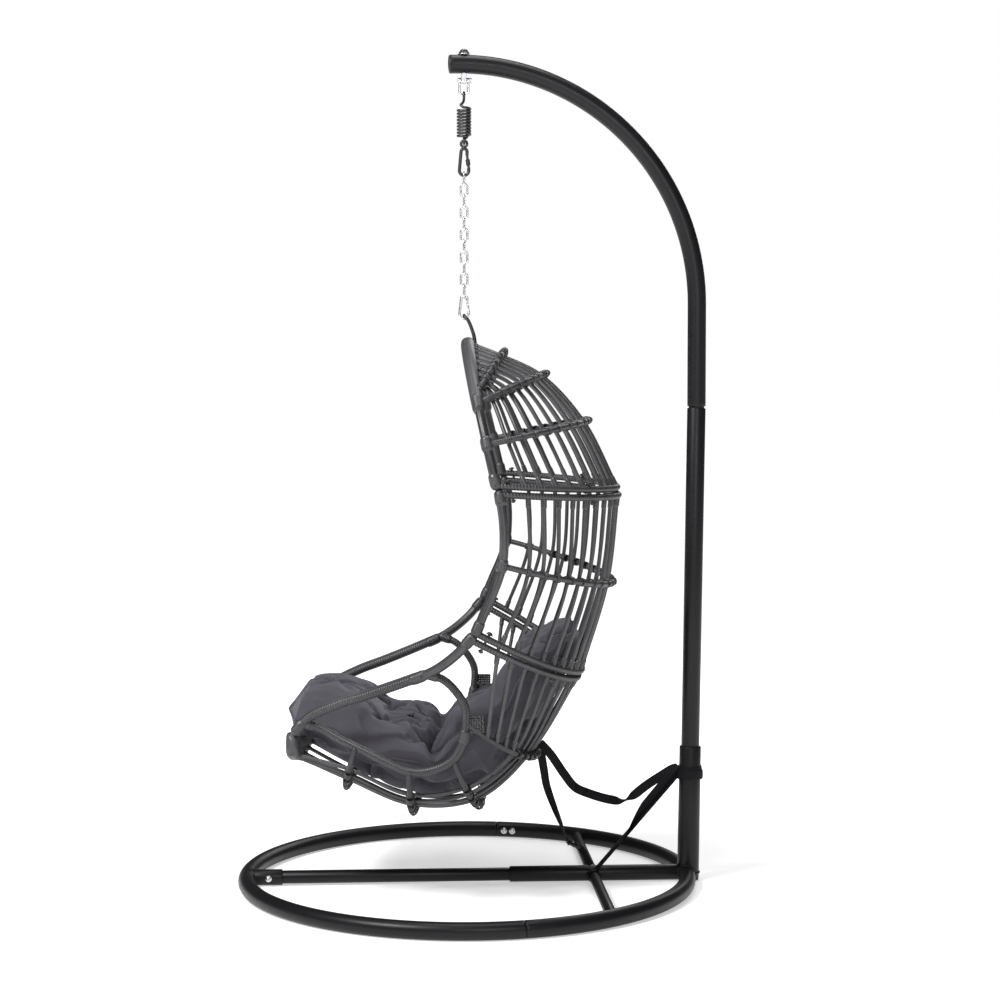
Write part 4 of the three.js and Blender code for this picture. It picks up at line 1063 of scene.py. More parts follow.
def strap_buckle():
    """A wire frame with two middle bars."""
    x, z, r = BUCKLE_HALF_X - BUCKLE_CORNER, BUCKLE_HALF_Z - BUCKLE_CORNER, BUCKLE_CORNER
    outline = [
        (sx * x + r * math.cos(a), 0, sz * z + r * math.sin(a))
        for sx, sz, first in ((1, 1, 0), (-1, 1, 1), (-1, -1, 2), (1, -1, 3))
        for a in np.radians(np.linspace(90 * first, 90 * first + 90, 7))
    ]
    wire = on_buckle(spaced(outline, 0.0012, closed=True))
    shape = sweep(Shape(), wire, BUCKLE_WIRE, 16, closed=True)
    for height in BUCKLE_BARS:
        ends = on_buckle([(-BUCKLE_HALF_X, 0, height), (BUCKLE_HALF_X, 0, height)])
        tube_between(shape, *ends, BUCKLE_WIRE * 0.9, 16, edge=0.0005)
    shape.object("looks_strap_buckle", STEEL, "black_steel", "stand", ["strap_buckle"])


def strap_tail():
    """The webbing through the buckle and down to the base loop, and the fold that hangs beside it."""
    tail = webbing(Shape(), from_ring(spline(TAIL, 0.0016)), 0.6)
    webbing(tail, from_ring(spline(THROUGH_BUCKLE, 0.0012)), 0.25)
    webbing(tail, from_ring(spline(LOOSE_FOLD, 0.0012)), -0.3)
    tail.object("looks_strap_tail", WEBBING, "webbing", "stand", ["strap_tail"])


rear_leg()
front_leg()
strap_on_stand()
strap_buckle()
strap_tail()


# ---------------------------------------------------------------- hanger, spring, hooks and chain
PIN_Z = 1.833
SHACKLE_WIRE = 0.003
SHACKLE_HALF = 0.0095
SHACKLE_BOW_Z = 1.799
SPRING_WIRE = 0.003
SPRING_COIL = 0.014
SPRING_TURNS = 9
SPRING_TOP_Z = 1.774
SPRING_BOTTOM_Z = 1.704
SPRING_HOOK = 0.0075
EYE_Z = 1.691
EYE_RADIUS = 0.007
REST_GAP = 0.0009  # between two pieces that hang in each other
UPPER_HOOK = dict(wire=0.0038, top=1.680, bottom=1.620, half_top=0.0068, half_bottom=0.0105)
UPPER_HOOK |= dict(gate=1.666, nose=1.636)
LOWER_HOOK = dict(wire=0.003, top=1.349, bottom=1.296, half_top=0.0065, half_bottom=0.0105)
LOWER_HOOK |= dict(gate=1.336, nose=1.312)
LINK_WIRE = 0.0025
LINK_HALF = 0.0072
LINK_COUNT = 11
LINK_OVERLAP = 2 * LINK_WIRE + 0.0012


def lug():
    """The hanger bolt: its lug under the arch, and its washer and domed nut on top."""
    bolt = Shape()
    under = ARCH_TOP_Z - POST_TUBE - 0.0006
    half_x, half_y = 0.008, 0.006
    outline = [(half_x, under), (half_x, PIN_Z)]
    for a in np.linspace(0, math.pi, 17)[1:-1]:
        outline.append((half_x * math.cos(a), PIN_Z - half_x * math.sin(a)))
    outline += [(-half_x, PIN_Z), (-half_x, under)]
    plate(bolt, outline, half_y)
    tube_between(bolt, (0, 0, under - 0.001), (0, 0, ARCH_TOP_Z + POST_TUBE + 0.004), 0.006)
    place(bolt)
    bolt.object("looks_hanger_lug_bolt", ZINC, "zinc", "hanger", ["hanger_lug_bolt"])
    top = ARCH_TOP_Z + POST_TUBE
    washer = [(0.0063, 0.0003), (0.0138, 0.0003), (0.014, 0.0009), (0.0138, 0.0017), (0.0063, 0.0019)]
    disc = place(turned(Shape(), [*washer, washer[0]], (0, 0, top)))
    disc.object("looks_hanger_washer", ZINC, "zinc", "hanger", ["hanger_washer"])
    nut = Shape()
    flats = [(0, 0.0022), (0.0115, 0.0022), (0.0115, 0.0058), (0.0103, 0.0068), (0, 0.0068)]
    turned(nut, flats, (0, 0, top), sides=6, smooth=False)
    dome = [(0, 0.006), (0.0098, 0.006), (0.0094, 0.0085), (0.0076, 0.0108), (0.0046, 0.0121)]
    turned(nut, [*dome, (0.0015, 0.0125), (0, 0.0125)], (0, 0, top))
    place(nut)
    nut.object("looks_hanger_domed_nut", STEEL, "black_steel", "hanger", ["hanger_domed_nut"])


def plate(shape, outline, half):
    """Adds a flat plate in the XZ plane, 2 * half thick, with softened edges."""
    line = np.array(outline)
    centre = line.mean(0)
    inner = centre + (line - centre) * 0.9
    rings = [(inner, -half), (line, -half * 0.85), (line, half * 0.85), (inner, half)]
    n = len(line)
    points = np.vstack([np.column_stack([ring[:, 0], np.full(n, y), ring[:, 1]]) for ring, y in rings])
    caps = [np.arange(n)[None, :], (3 * n + np.arange(n))[None, ::-1]]
    shape.add(points, [grid_faces(4, n, False)[:, ::-1], *caps], smooth=False)
    return shape


def place(shape):
    """Turns what a shape holds from chair space into the frame's own."""
    shape.points = [chair_space(p) for p in shape.points]
    return shape


def shackle():
    bow = Shape()
    centre_z = SHACKLE_BOW_Z + SHACKLE_HALF
    round_part = circle((0, 0, centre_z), SHACKLE_HALF, math.pi, 2 * math.pi, (0, 1, 0))
    legs = [(0, -SHACKLE_HALF, PIN_Z)], [(0, SHACKLE_HALF, PIN_Z)]
    sweep(bow, spaced(np.vstack([legs[0], round_part, legs[1]]), 0.0012), SHACKLE_WIRE, 16, up=(1, 0, 0))
    for side in (-1, 1):
        inner, outer = side * 0.0063, side * (SHACKLE_HALF + SHACKLE_WIRE)
        tube_between(bow, (0, inner, PIN_Z), (0, outer, PIN_Z), 0.006, edge=0.0008)
    place(bow).object("looks_shackle", ZINC, "zinc", "shackle", ["shackle"])
    end = SHACKLE_HALF + SHACKLE_WIRE
    pin = Shape()
    tube_between(pin, (0, -end - 0.001, PIN_Z), (0, end + 0.006, PIN_Z), 0.0029, edge=0.0006)
    thread = [(0.0026, 0), (0.0031, 0.0004), (0.0026, 0.0008), (0.0026, 0)]
    for i in range(4):
        turned(pin, thread, (0, end + 0.0018 + i * 0.001, PIN_Z), (0, 1, 0))
    dome = [(0, 0.0003), (0.005, 0.0003), (0.005, 0.0016), (0.0042, 0.0026), (0.002, 0.0031), (0, 0.0031)]
    turned(pin, dome, (0, -end, PIN_Z), (0, -1, 0))
    place(pin).object("looks_shackle_pin", ZINC, "zinc", "shackle", ["shackle_pin"])
    nut = [(0.0031, 0.0003), (0.0056, 0.0003), (0.0056, 0.0048), (0.0031, 0.0048), (0.0031, 0.0003)]
    hexagon = turned(Shape(), nut, (0, end, PIN_Z), (0, 1, 0), 6, smooth=False)
    place(hexagon).object("looks_shackle_nut", ZINC, "zinc", "shackle", ["shackle_nut"])


def spring():
    def hook(centre_z, up):
        a = np.radians(np.linspace(-50, 210, 20))
        return np.stack([SPRING_HOOK * np.cos(a), 0 * a, centre_z + up * SPRING_HOOK * np.sin(a)], -1)

    top_hook = SHACKLE_BOW_Z + SHACKLE_WIRE + SPRING_WIRE + REST_GAP - SPRING_HOOK
    low_hook = EYE_Z + EYE_RADIUS - SHACKLE_WIRE - SPRING_WIRE - REST_GAP + SPRING_HOOK
    a = np.linspace(0, 2 * math.pi * SPRING_TURNS, SPRING_TURNS * 24)
    z = np.linspace(SPRING_TOP_Z - SPRING_WIRE, SPRING_BOTTOM_Z + SPRING_WIRE, len(a))
    coil = np.stack([SPRING_COIL * np.cos(a), SPRING_COIL * np.sin(a), z], -1)
    down = [(0.001, -0.002, SPRING_TOP_Z + 0.010), (0.009, -0.007, SPRING_TOP_Z + 0.003)]
    out = [(0.009, 0.007, SPRING_BOTTOM_Z + 0.001)]
    line = np.vstack([hook(top_hook, 1), down, coil, out, hook(low_hook, -1)[::-1]])
    wire = place(sweep(Shape(), spline(line, 0.0016, 6), SPRING_WIRE, 14))
    made = wire.object("looks_spring", STEEL, "black_steel", replaces=["spring"])
    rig.blend(made, "spring", "chain", start=(0, HANG_Y, SPRING_TOP_Z), end=(0, HANG_Y, SPRING_BOTTOM_Z))


def hook_path(wire, top, bottom, half_top, half_bottom, gate, nose):
    """A snap hook's line, from its gate's hinge over the top and round to its nose."""
    upper = circle((0, 0, top - half_top), half_top, 0, math.pi, (0, 1, 0), count=20)
    lower = circle((0, 0, bottom + half_bottom), half_bottom, math.pi, 2 * math.pi, (0, 1, 0), count=24)
    return spline(np.vstack([[(0, half_top, gate)], upper, lower, [(0, half_bottom, nose)]]), 0.0014, 6)


def knurl(along, angle):
    """Fine flutes on the gate's sleeve."""
    return 0.00035 * np.abs(np.sin(angle * 9)) * np.ones_like(along)


def snap_hooks():
    body = sweep(Shape(), hook_path(**UPPER_HOOK), UPPER_HOOK["wire"], 16, up=(1, 0, 0))
    eye = circle((0, 0, EYE_Z), EYE_RADIUS, 0, 2 * math.pi, (0, 1, 0), count=49)[:-1]
    sweep(body, eye, SHACKLE_WIRE, 16, closed=True)
    tube_between(body, (0, 0, EYE_Z - 0.0135), (0, 0, EYE_Z - 0.0065), 0.0058)
    place(body).object("looks_upper_snap_hook", STEEL, "black_steel", "chain", ["upper_snap_hook"])
    gate = Shape()
    start = np.array([0, UPPER_HOOK["half_bottom"], UPPER_HOOK["nose"] + 0.0003])
    end = np.array([0, UPPER_HOOK["half_top"], UPPER_HOOK["gate"] - 0.0012])
    tube_between(gate, start, end, 0.003)
    sleeve = spaced([start + (end - start) * 0.2, start + (end - start) * 0.7], 0.001)
    sweep(gate, sleeve, 0.0046, 54, relief=knurl, ends="cut")
    place(gate).object("looks_upper_snap_gate", STEEL, "black_steel", "upper_gate", ["upper_snap_gate"])
    lower = sweep(Shape(), hook_path(**LOWER_HOOK), LOWER_HOOK["wire"], 16, up=(1, 0, 0))
    place(lower).object("looks_lower_snap_hook", ZINC, "zinc", "chain", ["lower_snap_hook"])
    start = np.array([0, LOWER_HOOK["half_top"], LOWER_HOOK["gate"]])
    end = np.array([0, LOWER_HOOK["half_bottom"], LOWER_HOOK["nose"]])
    along = (end - start) / np.linalg.norm(end - start)
    gate = tube_between(Shape(), start + along * 0.0012, end - along * 0.0006, 0.0024, edge=0.0007)
    place(gate).object("looks_lower_snap_gate", ZINC, "zinc", "lower_gate", ["lower_snap_gate"])


def chain():
    top = UPPER_HOOK["bottom"] + UPPER_HOOK["wire"] + LINK_WIRE + REST_GAP
    bottom = LOWER_HOOK["top"] - LOWER_HOOK["wire"] - LINK_WIRE - REST_GAP
    length = (top - bottom + (LINK_COUNT - 1) * LINK_OVERLAP) / LINK_COUNT
    straight = length / 2 - LINK_HALF
    for i in range(LINK_COUNT):
        middle = top - i * (length - LINK_OVERLAP) - length / 2
        across = (1, 0, 0) if i % 2 == 0 else (0, 1, 0)
        upper = circle((0, 0, middle + straight), LINK_HALF, 0, math.pi, across, count=20)
        lower = circle((0, 0, middle - straight), LINK_HALF, math.pi, 2 * math.pi, across, count=20)
        line = spaced(np.vstack([upper, lower]), 0.0016, closed=True)
        link = place(sweep(Shape(), line, LINK_WIRE, 14, closed=True))
        seam = np.array([-LINK_HALF * c for c in across]) + np.array([0, 0, middle])
        node = f"chain_link_{i + 1:02d}"
        link_weld(link, seam)
        link.object("looks_" + node, ZINC, "zinc", "chain", [node])


def link_weld(link, seam):
    """The slight swelling where a link's wire was welded shut."""
    points = link.points[0]
    away = points - chair_space(seam)
    near = np.exp(-((away[:, 2] / 0.0022) ** 2)) * (np.linalg.norm(away, axis=1) < 0.009)
    flat = away * np.array([1, 1, 0])
    link.points[0] = points + flat * (0.12 * near)[:, None]


lug()
shackle()
spring()
snap_hooks()
chain()


# ---------------------------------------------------------------- wicker: what strands look like
def groove(u):
    """The height, 0 to 1, across strands laid side by side; u counts strands."""
    return np.sqrt(np.clip(1 - (2 * (u % 1) - 1) ** 4, 0, 1))


def wound(pitch=0.0045, height=0.0012):
    """A strand wound round a tube, turn against turn."""
    return lambda along, angle: height * (groove(along / pitch + angle / (2 * math.pi)) - 1)


def bundled(count, height=0.0012, twist=0.0):
    """Strands laid along a tube, side by side."""
    return lambda along, angle: height * (groove(count * angle / (2 * math.pi) + twist * along) - 1)


def plaited(pitch=0.007, height=0.0018):
    """Strands crossing each other both ways round a tube."""

    def relief(along, angle):
        one = along / pitch + angle / math.pi
        other = along / pitch - angle / math.pi
        over = np.sin(math.pi * one) * np.sin(math.pi * other)
        return height * (0.5 * over + 0.5 * groove(np.where(over > 0, one, other)) - 0.6)

    return relief


def squared(power, amount):
    """Squares a round section: power 4 and more gives flatter sides."""

    def relief(along, angle):
        reach = (np.abs(np.cos(angle)) ** power + np.abs(np.sin(angle)) ** power) ** (-1 / power)
        return amount * (reach - 1) * np.ones_like(along)

    return relief


# ---------------------------------------------------------------- wicker: curves of the shell
RIM = 0.010
SECTION_RING = 0.008
HOOP = 0.0065
SPINDLE = 0.0045
ARM = 0.0105
SIDE_LOOP = 0.009
SLEEVE = 0.022  # the windings at a spindle's ends
SPINDLE_INSET = HOOP + SPINDLE + REST_GAP
SPINDLE_COUNT = 21
FIRST_SPINDLE = math.radians(13.5)
HOOP_FIRST_SPINDLE = math.radians(12)
ARCH_FIRST_SPINDLE = math.radians(38)
RIB_FIRST_SPINDLE = math.radians(27)
OUTER_SPINDLES = 4  # on each side, these stop at the rear rib
BAND_ANGLE = math.radians(34)


class Rib:
    """Half a superellipse from its corner (angle 0) through its spine (a quarter turn) to the
    mirrored corner. Flatness 2 is an ellipse; more is squarer."""

    def __init__(self, corner, spine, flatness=2.0):
        self.corner, self.spine, self.flatness = corner, spine, flatness

    def at(self, angle):
        power = 2 / self.flatness
        c = np.cos(angle)
        across = np.sign(c) * np.abs(c) ** power
        down = np.sin(np.clip(angle, 0, math.pi)) ** power
        y = self.corner[1] + (self.spine[0] - self.corner[1]) * down
        z = self.corner[2] + (self.spine[1] - self.corner[2]) * down
        return np.stack([self.corner[0] * across, y, z], -1)

    def path(self, start=0.0, end=math.pi, spacing=0.00075):
        ease = (1 - np.cos(np.linspace(0, math.pi, 400))) / 2
        return spaced(self.at(start + (end - start) * ease), spacing)

    def facing(self, angle):
        """Where the rib is at an angle, its tangent there, and the way in towards the sitter."""
        here = self.at(angle)
        tangent = self.at(angle + 0.01) - self.at(angle - 0.01)
        tangent /= np.linalg.norm(tangent)
        inward = np.array([0, self.corner[1], self.corner[2]]) - here
        inward -= tangent * (inward @ tangent)
        return here, tangent, inward / np.linalg.norm(inward)

    def inside(self, angle):
        """The middle of a spindle that passes just inside the rib."""
        here, _, inward = self.facing(angle)
        return here + inward * SPINDLE_INSET


ARCH = Rib((0.390, 0.079, 0.932), (0.008, 1.242))
HOOD_HOOPS = [
    Rib(ARCH.at(math.radians(38)), (0.092, 1.222)),
    Rib(ARCH.at(math.radians(34)), (0.187, 1.172)),
    Rib(ARCH.at(math.radians(16)), (0.283, 1.066)),
]
HOOD_RING = Rib((0.390, 0.079, 0.932), (0.347, 0.915))
BACK_TOP = Rib((0.390, 0.084, 0.914), (0.350, 0.897))
BACK_MIDDLE = Rib((0.392, 0.093, 0.764), (0.339, 0.700))
BACK_BOTTOM = Rib((0.386, 0.036, 0.622), (0.268, 0.500))
SEAT_RING = Rib((0.385, 0.028, 0.6065), (0.260, 0.4845))
REAR_RIB = Rib((0.330, 0.020, 0.418), (0.166, 0.311), 2.2)
LOWER_RIBS = [
    Rib((0.315, -0.012, 0.337), (0.040, 0.205), 2.5),
    Rib((0.300, -0.110, 0.311), (-0.108, 0.191), 2.5),
    Rib((0.285, -0.228, 0.360), (-0.259, 0.247), 2.5),
]
RAIL_HALF, RAIL_END_Y, RAIL_END_Z = 0.252, -0.366, 0.366
RAIL_DEPTH, RAIL_HEIGHT, RAIL_BOW, RAIL_SAG = 0.034, 0.058, 0.010, 0.044
RAIL = Rib((RAIL_HALF, RAIL_END_Y, RAIL_END_Z), (RAIL_END_Y - RAIL_BOW, RAIL_END_Z - RAIL_SAG), 3)

SIDE_RIM_POINTS = [
    (0.390, 0.086, 0.914),
    (0.393, 0.094, 0.861),
    (0.394, 0.096, 0.815),
    (0.392, 0.092, 0.765),
    (0.390, 0.078, 0.720),
    (0.387, 0.058, 0.674),
    (0.386, 0.037, 0.624),
]
ARM_POINTS = [
    (0.385, 0.028, 0.612),
    (0.375, -0.002, 0.578),
    (0.360, -0.038, 0.548),
    (0.345, -0.068, 0.530),
    (0.325, -0.123, 0.507),
    (0.300, -0.202, 0.477),
    (0.280, -0.270, 0.453),
    (0.262, -0.330, 0.423),
    (0.253, -0.360, 0.392),
]
SIDE_LOOP_POINTS = [
    (0.343, -0.070, 0.530),
    (0.340, -0.034, 0.517),
    (0.338, -0.007, 0.491),
    (0.335, 0.012, 0.458),
    (0.330, 0.014, 0.424),
    (0.325, 0.004, 0.374),
    (0.315, -0.018, 0.339),
    (0.305, -0.058, 0.317),
    (0.300, -0.104, 0.312),
    (0.295, -0.158, 0.332),
    (0.285, -0.204, 0.353),
    (0.270, -0.259, 0.377),
    (0.257, -0.310, 0.402),
    (0.255, -0.345, 0.410),
]


def spindle_angle(k, first, count=SPINDLE_COUNT):
    return first + (math.pi - 2 * first) * k / (count - 1)


def mirrored(points, side):
    return np.asarray(points, float) * np.array([side, 1, 1])


def wicker_object(shape, name, look=None, replaces=()):
    return place(shape).object(name, look or CANE, "wicker", "chair", replaces)


RIM_WRAP = bundled(7, 0.0014, 2.0)  # seven flat strands that creep round the tube
ALTERNATE = 0.003  # how far neighbouring lashings lean, by turns one way and the other


# ---------------------------------------------------------------- wicker: lashings
LASHING = 0.0017  # a lashing strand's radius
LASHING_PITCH = 0.0034


def lashing(shape, centre, axis, one, reach_one, reach_other, turns=3, lean=0.0025):
    """Adds a strand wound round an axis in an ellipse: reach_one along `one`, reach_other across."""
    other = np.cross(axis, one)
    a = np.linspace(0, 2 * math.pi * turns, 13 * turns + 1)[:, None]
    rise = (a / (2 * math.pi) - turns / 2) * LASHING_PITCH + lean * np.cos(a)
    path = centre + axis * rise + one * reach_one * np.cos(a) + other * reach_other * np.sin(a)
    return sweep(shape, path, LASHING, 6)


def crossing(shape, rib, angle, turns=3, bulge=1.0, lean=0.0025):
    """Lashes a spindle to the rib that it passes inside."""
    here, tangent, inward = rib.facing(angle)
    outer = (HOOP + LASHING) * bulge
    inner = SPINDLE + LASHING
    reach = (outer + SPINDLE_INSET + inner) / 2
    centre = here + inward * (reach - outer)
    return lashing(shape, centre, tangent, inward, reach, HOOP + LASHING * 0.9, turns, lean)


def collar(shape, path, middle, length, radius, pitch=0.0036):
    """Winds a strand round a stretch of a tube, `middle` of the way along it."""
    path = np.asarray(path)
    steps = np.linalg.norm(np.diff(path, axis=0), axis=1)
    total = steps.sum()
    along = np.concatenate([[0], np.cumsum(steps)])
    start = min(max(middle * total - length / 2, 0), total - length)
    at = np.linspace(start, start + length, int(length / 0.0006))
    part = np.stack([np.interp(at, along, path[:, k]) for k in range(3)], 1)
    return sweep(shape, part, radius, 20, relief=wound(pitch, 0.0014))


# ---------------------------------------------------------------- wicker: the hood
def hood_arch():
    """The hood's front edge: a flat band over the top, rims down its sides, and their lashings."""
    band, rim, tied = Shape(), Shape(), Shape()
    face = np.cross(ARCH.at(math.pi / 2) - ARCH.at(0.2), (1.0, 0, 0))
    top = ARCH.path(BAND_ANGLE, math.pi - BAND_ANGLE, 0.004)
    sweep(band, top, 0.0122, 40, relief=bundled(5, 0.0005), flat=1.2, up=face)
    for first, last in ((0.0, BAND_ANGLE), (math.pi - BAND_ANGLE, math.pi)):
        sweep(rim, ARCH.path(first, last, 0.004), RIM, 42, relief=RIM_WRAP, ends="cut")
    for side in (0, 1):
        turn = (lambda a: math.pi - a) if side else (lambda a: a)
        for low, high, radius in ((31.2, 35.8, 0.0138), (14.6, 17.6, 0.0126), (0.4, 3.2, 0.0122)):
            a, b = sorted((turn(math.radians(low)), turn(math.radians(high))))
            path = ARCH.path(a, b, 0.0005)
            sweep(tied, path, radius, 26, relief=wound(0.0032, 0.0012), flat=1.05, up=face)
    wicker_object(band, "hood_arch_band", BAND_CANE)
    wicker_object(rim, "hood_arch_rim", DARK_CANE)
    wicker_object(tied, "hood_arch_lashings")


def hood_hoops():
    shape = Shape()
    for hoop in HOOD_HOOPS:
        sweep(shape, hoop.path(0.01, math.pi - 0.01), HOOP, 14, relief=wound(0.0048))
    wicker_object(shape, "hood_hoops")
    knots = Shape()
    for hoop in HOOD_HOOPS:
        for k in range(SPINDLE_COUNT):
            crossing(knots, hoop, spindle_angle(k, HOOP_FIRST_SPINDLE), lean=ALTERNATE * (-1) ** k)
    wicker_object(knots, "hood_hoop_lashings")


def section_ring(rib, name):
    """The plaited ring at the end of a section, where it is bolted to the next."""
    shape = sweep(Shape(), rib.path(0.008, math.pi - 0.008, 0.0009), SECTION_RING, 20, relief=plaited())
    wicker_object(shape, name)


def spindle(shape, points):
    """One cane, and the short windings that hold its two ends."""
    path = spline(points, 0.008)
    sweep(shape, path, SPINDLE, 15, relief=bundled(5, 0.0003))
    for middle in (0.0, 1.0):
        collar(shape, path, middle, SLEEVE, SPINDLE + 0.0014)


def hood_spindles():
    shape = Shape()
    for k in range(SPINDLE_COUNT):
        on_hoops = [hoop.inside(spindle_angle(k, HOOP_FIRST_SPINDLE)) for hoop in HOOD_HOOPS]
        start = ARCH.at(spindle_angle(k, ARCH_FIRST_SPINDLE))
        spindle(shape, [start, *on_hoops, HOOD_RING.at(spindle_angle(k, FIRST_SPINDLE))])
    wicker_object(shape, "hood_spindles", replaces=["hood_frame"])


# ---------------------------------------------------------------- wicker: the back
def back_section():
    shape = sweep(Shape(), BACK_MIDDLE.path(0.01, math.pi - 0.01), HOOP, 14, relief=wound(0.0048))
    for k in range(SPINDLE_COUNT):
        crossing(shape, BACK_MIDDLE, spindle_angle(k, FIRST_SPINDLE), lean=ALTERNATE * (-1) ** k)
    wicker_object(shape, "back_hoop")
    rims = Shape()
    for side in (1, -1):
        line = spline(mirrored(SIDE_RIM_POINTS, side), 0.004)
        sweep(rims, line, RIM, 42, relief=RIM_WRAP, ends="cut")
        for middle, length in ((0.03, 0.016), (0.5, 0.014), (0.97, 0.016)):
            collar(rims, line, middle, length, RIM + 0.0022)
    wicker_object(rims, "back_side_rims")
    canes = Shape()
    for k in range(SPINDLE_COUNT):
        angle = spindle_angle(k, FIRST_SPINDLE)
        spindle(canes, [BACK_TOP.at(angle), BACK_MIDDLE.inside(angle), BACK_BOTTOM.at(angle)])
    wicker_object(canes, "back_spindles", replaces=["back_frame"])


# ---------------------------------------------------------------- wicker: the seat
def beads(shape, line, offset, pitch, radius=0.0019):
    """A strand that goes under every second winding, seen as a row of dots."""
    dots = lambda along: radius * (np.abs(np.sin(math.pi * along / pitch)) - 0.9)
    relief = lambda along, angle: dots(along) * np.ones_like(angle)
    return sweep(shape, line + offset, radius, 8, relief=relief)


def arms():
    """The armrests: flat-wrapped down to the branch of the side loop, then wound with a strip on top."""
    shape = Shape()
    for side in (1, -1):
        line = spline(mirrored(ARM_POINTS, side), 0.00075)
        branch = int(len(line) * 0.36)
        sweep(shape, line[: branch : 5], ARM, 42, relief=RIM_WRAP, ends="cut")
        sweep(shape, line[branch - 8 :], ARM, 16, relief=wound(0.0058, 0.0018))
        top = line[branch - 8 :: 4] + np.array([side * 0.002, 0.001, ARM - 0.0005])
        sweep(shape, top, 0.0042, 12, relief=bundled(3, 0.0004))
        beads(shape, line[branch:], np.array([side * (ARM - 0.0004), 0, -0.0015]), 0.0058, 0.0018)
        for middle, length in ((0.02, 0.016), (0.33, 0.022), (0.975, 0.018)):
            collar(shape, line, middle, length, ARM + 0.0022)
    wicker_object(shape, "seat_arms")


def side_loops():
    """The wound loops under the armrests, with a row of beads on each face."""
    shape = Shape()
    for side in (1, -1):
        line = spline(mirrored(SIDE_LOOP_POINTS, side), 0.00075)
        sweep(shape, line, SIDE_LOOP, 16, relief=wound(0.0052, 0.0017))
        for face in (side, -side):
            beads(shape, line, np.array([face * (SIDE_LOOP - 0.0002), 0, 0]), 0.0052, 0.0021)
        for middle in (0.02, 0.3, 0.985):
            collar(shape, line, middle, 0.018, SIDE_LOOP + 0.0024)
    wicker_object(shape, "seat_side_loops")


def front_rail():
    """The flat-wrapped board across the front of the seat."""
    x = np.linspace(-RAIL_HALF + 0.014, RAIL_HALF - 0.014, 90)
    drop = 1 - (x / RAIL_HALF) ** 2
    line = np.stack([x, RAIL_END_Y - RAIL_BOW * drop, RAIL_END_Z - RAIL_SAG * drop], -1)
    board = squared(5, RAIL_DEPTH / 2)
    strips = bundled(14, 0.0005)
    relief = lambda along, angle: board(along, angle) * 0.8 + strips(along, angle)
    flat = RAIL_HEIGHT / RAIL_DEPTH
    rail = sweep(Shape(), line, RAIL_DEPTH / 2 * 0.94, 84, relief=relief, flat=flat, up=(0, 0, 1))
    wicker_object(rail, "seat_front_rail", BAND_CANE)


def seat_ribs():
    shape = Shape()
    sweep(shape, REAR_RIB.path(0.01, math.pi - 0.01), HOOP, 14, relief=wound(0.0046))
    inner = range(OUTER_SPINDLES, SPINDLE_COUNT - OUTER_SPINDLES)
    for k in inner:
        crossing(shape, REAR_RIB, spindle_angle(k, FIRST_SPINDLE), 4, 1.2)
    for rib in LOWER_RIBS:
        sweep(shape, rib.path(0.01, math.pi - 0.01), HOOP, 14, relief=wound(0.0046))
        for k in inner:
            along = spindle_angle(k - OUTER_SPINDLES, RIB_FIRST_SPINDLE, len(inner))
            crossing(shape, rib, along, 4, 1.5, ALTERNATE * (-1) ** k)
    wicker_object(shape, "seat_ribs", DARK_CANE)


def seat_spindles():
    """Inner spindles run on under the seat to the rail, and the outer ones stop at the rear rib."""
    shape = Shape()
    inner = range(OUTER_SPINDLES, SPINDLE_COUNT - OUTER_SPINDLES)
    for k in range(SPINDLE_COUNT):
        angle = spindle_angle(k, FIRST_SPINDLE)
        if k not in inner:
            spindle(shape, [SEAT_RING.at(angle), REAR_RIB.at(angle)])
            continue
        along = spindle_angle(k - OUTER_SPINDLES, RIB_FIRST_SPINDLE, len(inner))
        under = [rib.inside(along) for rib in LOWER_RIBS]
        spindle(shape, [SEAT_RING.at(angle), REAR_RIB.inside(angle), *under, RAIL.at(along)])
    wicker_object(shape, "seat_spindles", replaces=["seat_frame"])


PATCH_MIDDLE = np.array([0.334, 0.034, 0.420])
PATCH_HALF = 0.019
PATCH_STRIPS = 7


def woven_patches():
    """The plain-woven squares where each side loop meets the rear rib."""
    shape = Shape()
    step = 2 * PATCH_HALF / PATCH_STRIPS
    run = np.linspace(-PATCH_HALF, PATCH_HALF, 60)
    for side in (1, -1):
        for i in range(PATCH_STRIPS):
            across = (i + 0.5) * step - PATCH_HALF
            lift = 0.0011 * np.cos(math.pi * (run + PATCH_HALF) / step - math.pi / 2 + math.pi * i)
            bow = -0.25 * run**2 / PATCH_HALF
            upright = np.stack([lift + bow, np.full(60, across), run], -1)
            level = np.stack([-lift + bow, run, np.full(60, across)], -1)
            for strip in (upright, level):
                sweep(shape, mirrored(PATCH_MIDDLE + strip, side), step * 0.44, 10, flat=0.3, up=(1, 0, 0))
    wicker_object(shape, "seat_woven_patches", DARK_CANE)


# ---------------------------------------------------------------- the chair's steel: loop and bolts
SECTION_BOLT_ANGLES = np.radians([6, 47.9, 132.1, 174])


def hang_loop():
    top = LOWER_HOOK["bottom"] + LOWER_HOOK["wire"] + 0.0043
    a = np.linspace(0, math.pi, 9)
    crown = np.stack([0.011 * np.cos(a), 0.009 * (1 - np.sin(a)), top - 0.011 + 0.011 * np.sin(a)], -1)
    leg = np.array([(0.014, 0.025, 1.238), (0.013, 0.021, 1.262)])
    points = [*leg, *crown, *mirrored(leg[::-1], -1)]
    loop = sweep(Shape(), spline(points, 0.0014), 0.004, 16)
    place(loop).object("looks_hang_loop", STEEL, "black_steel", "chair", ["hang_loop"])


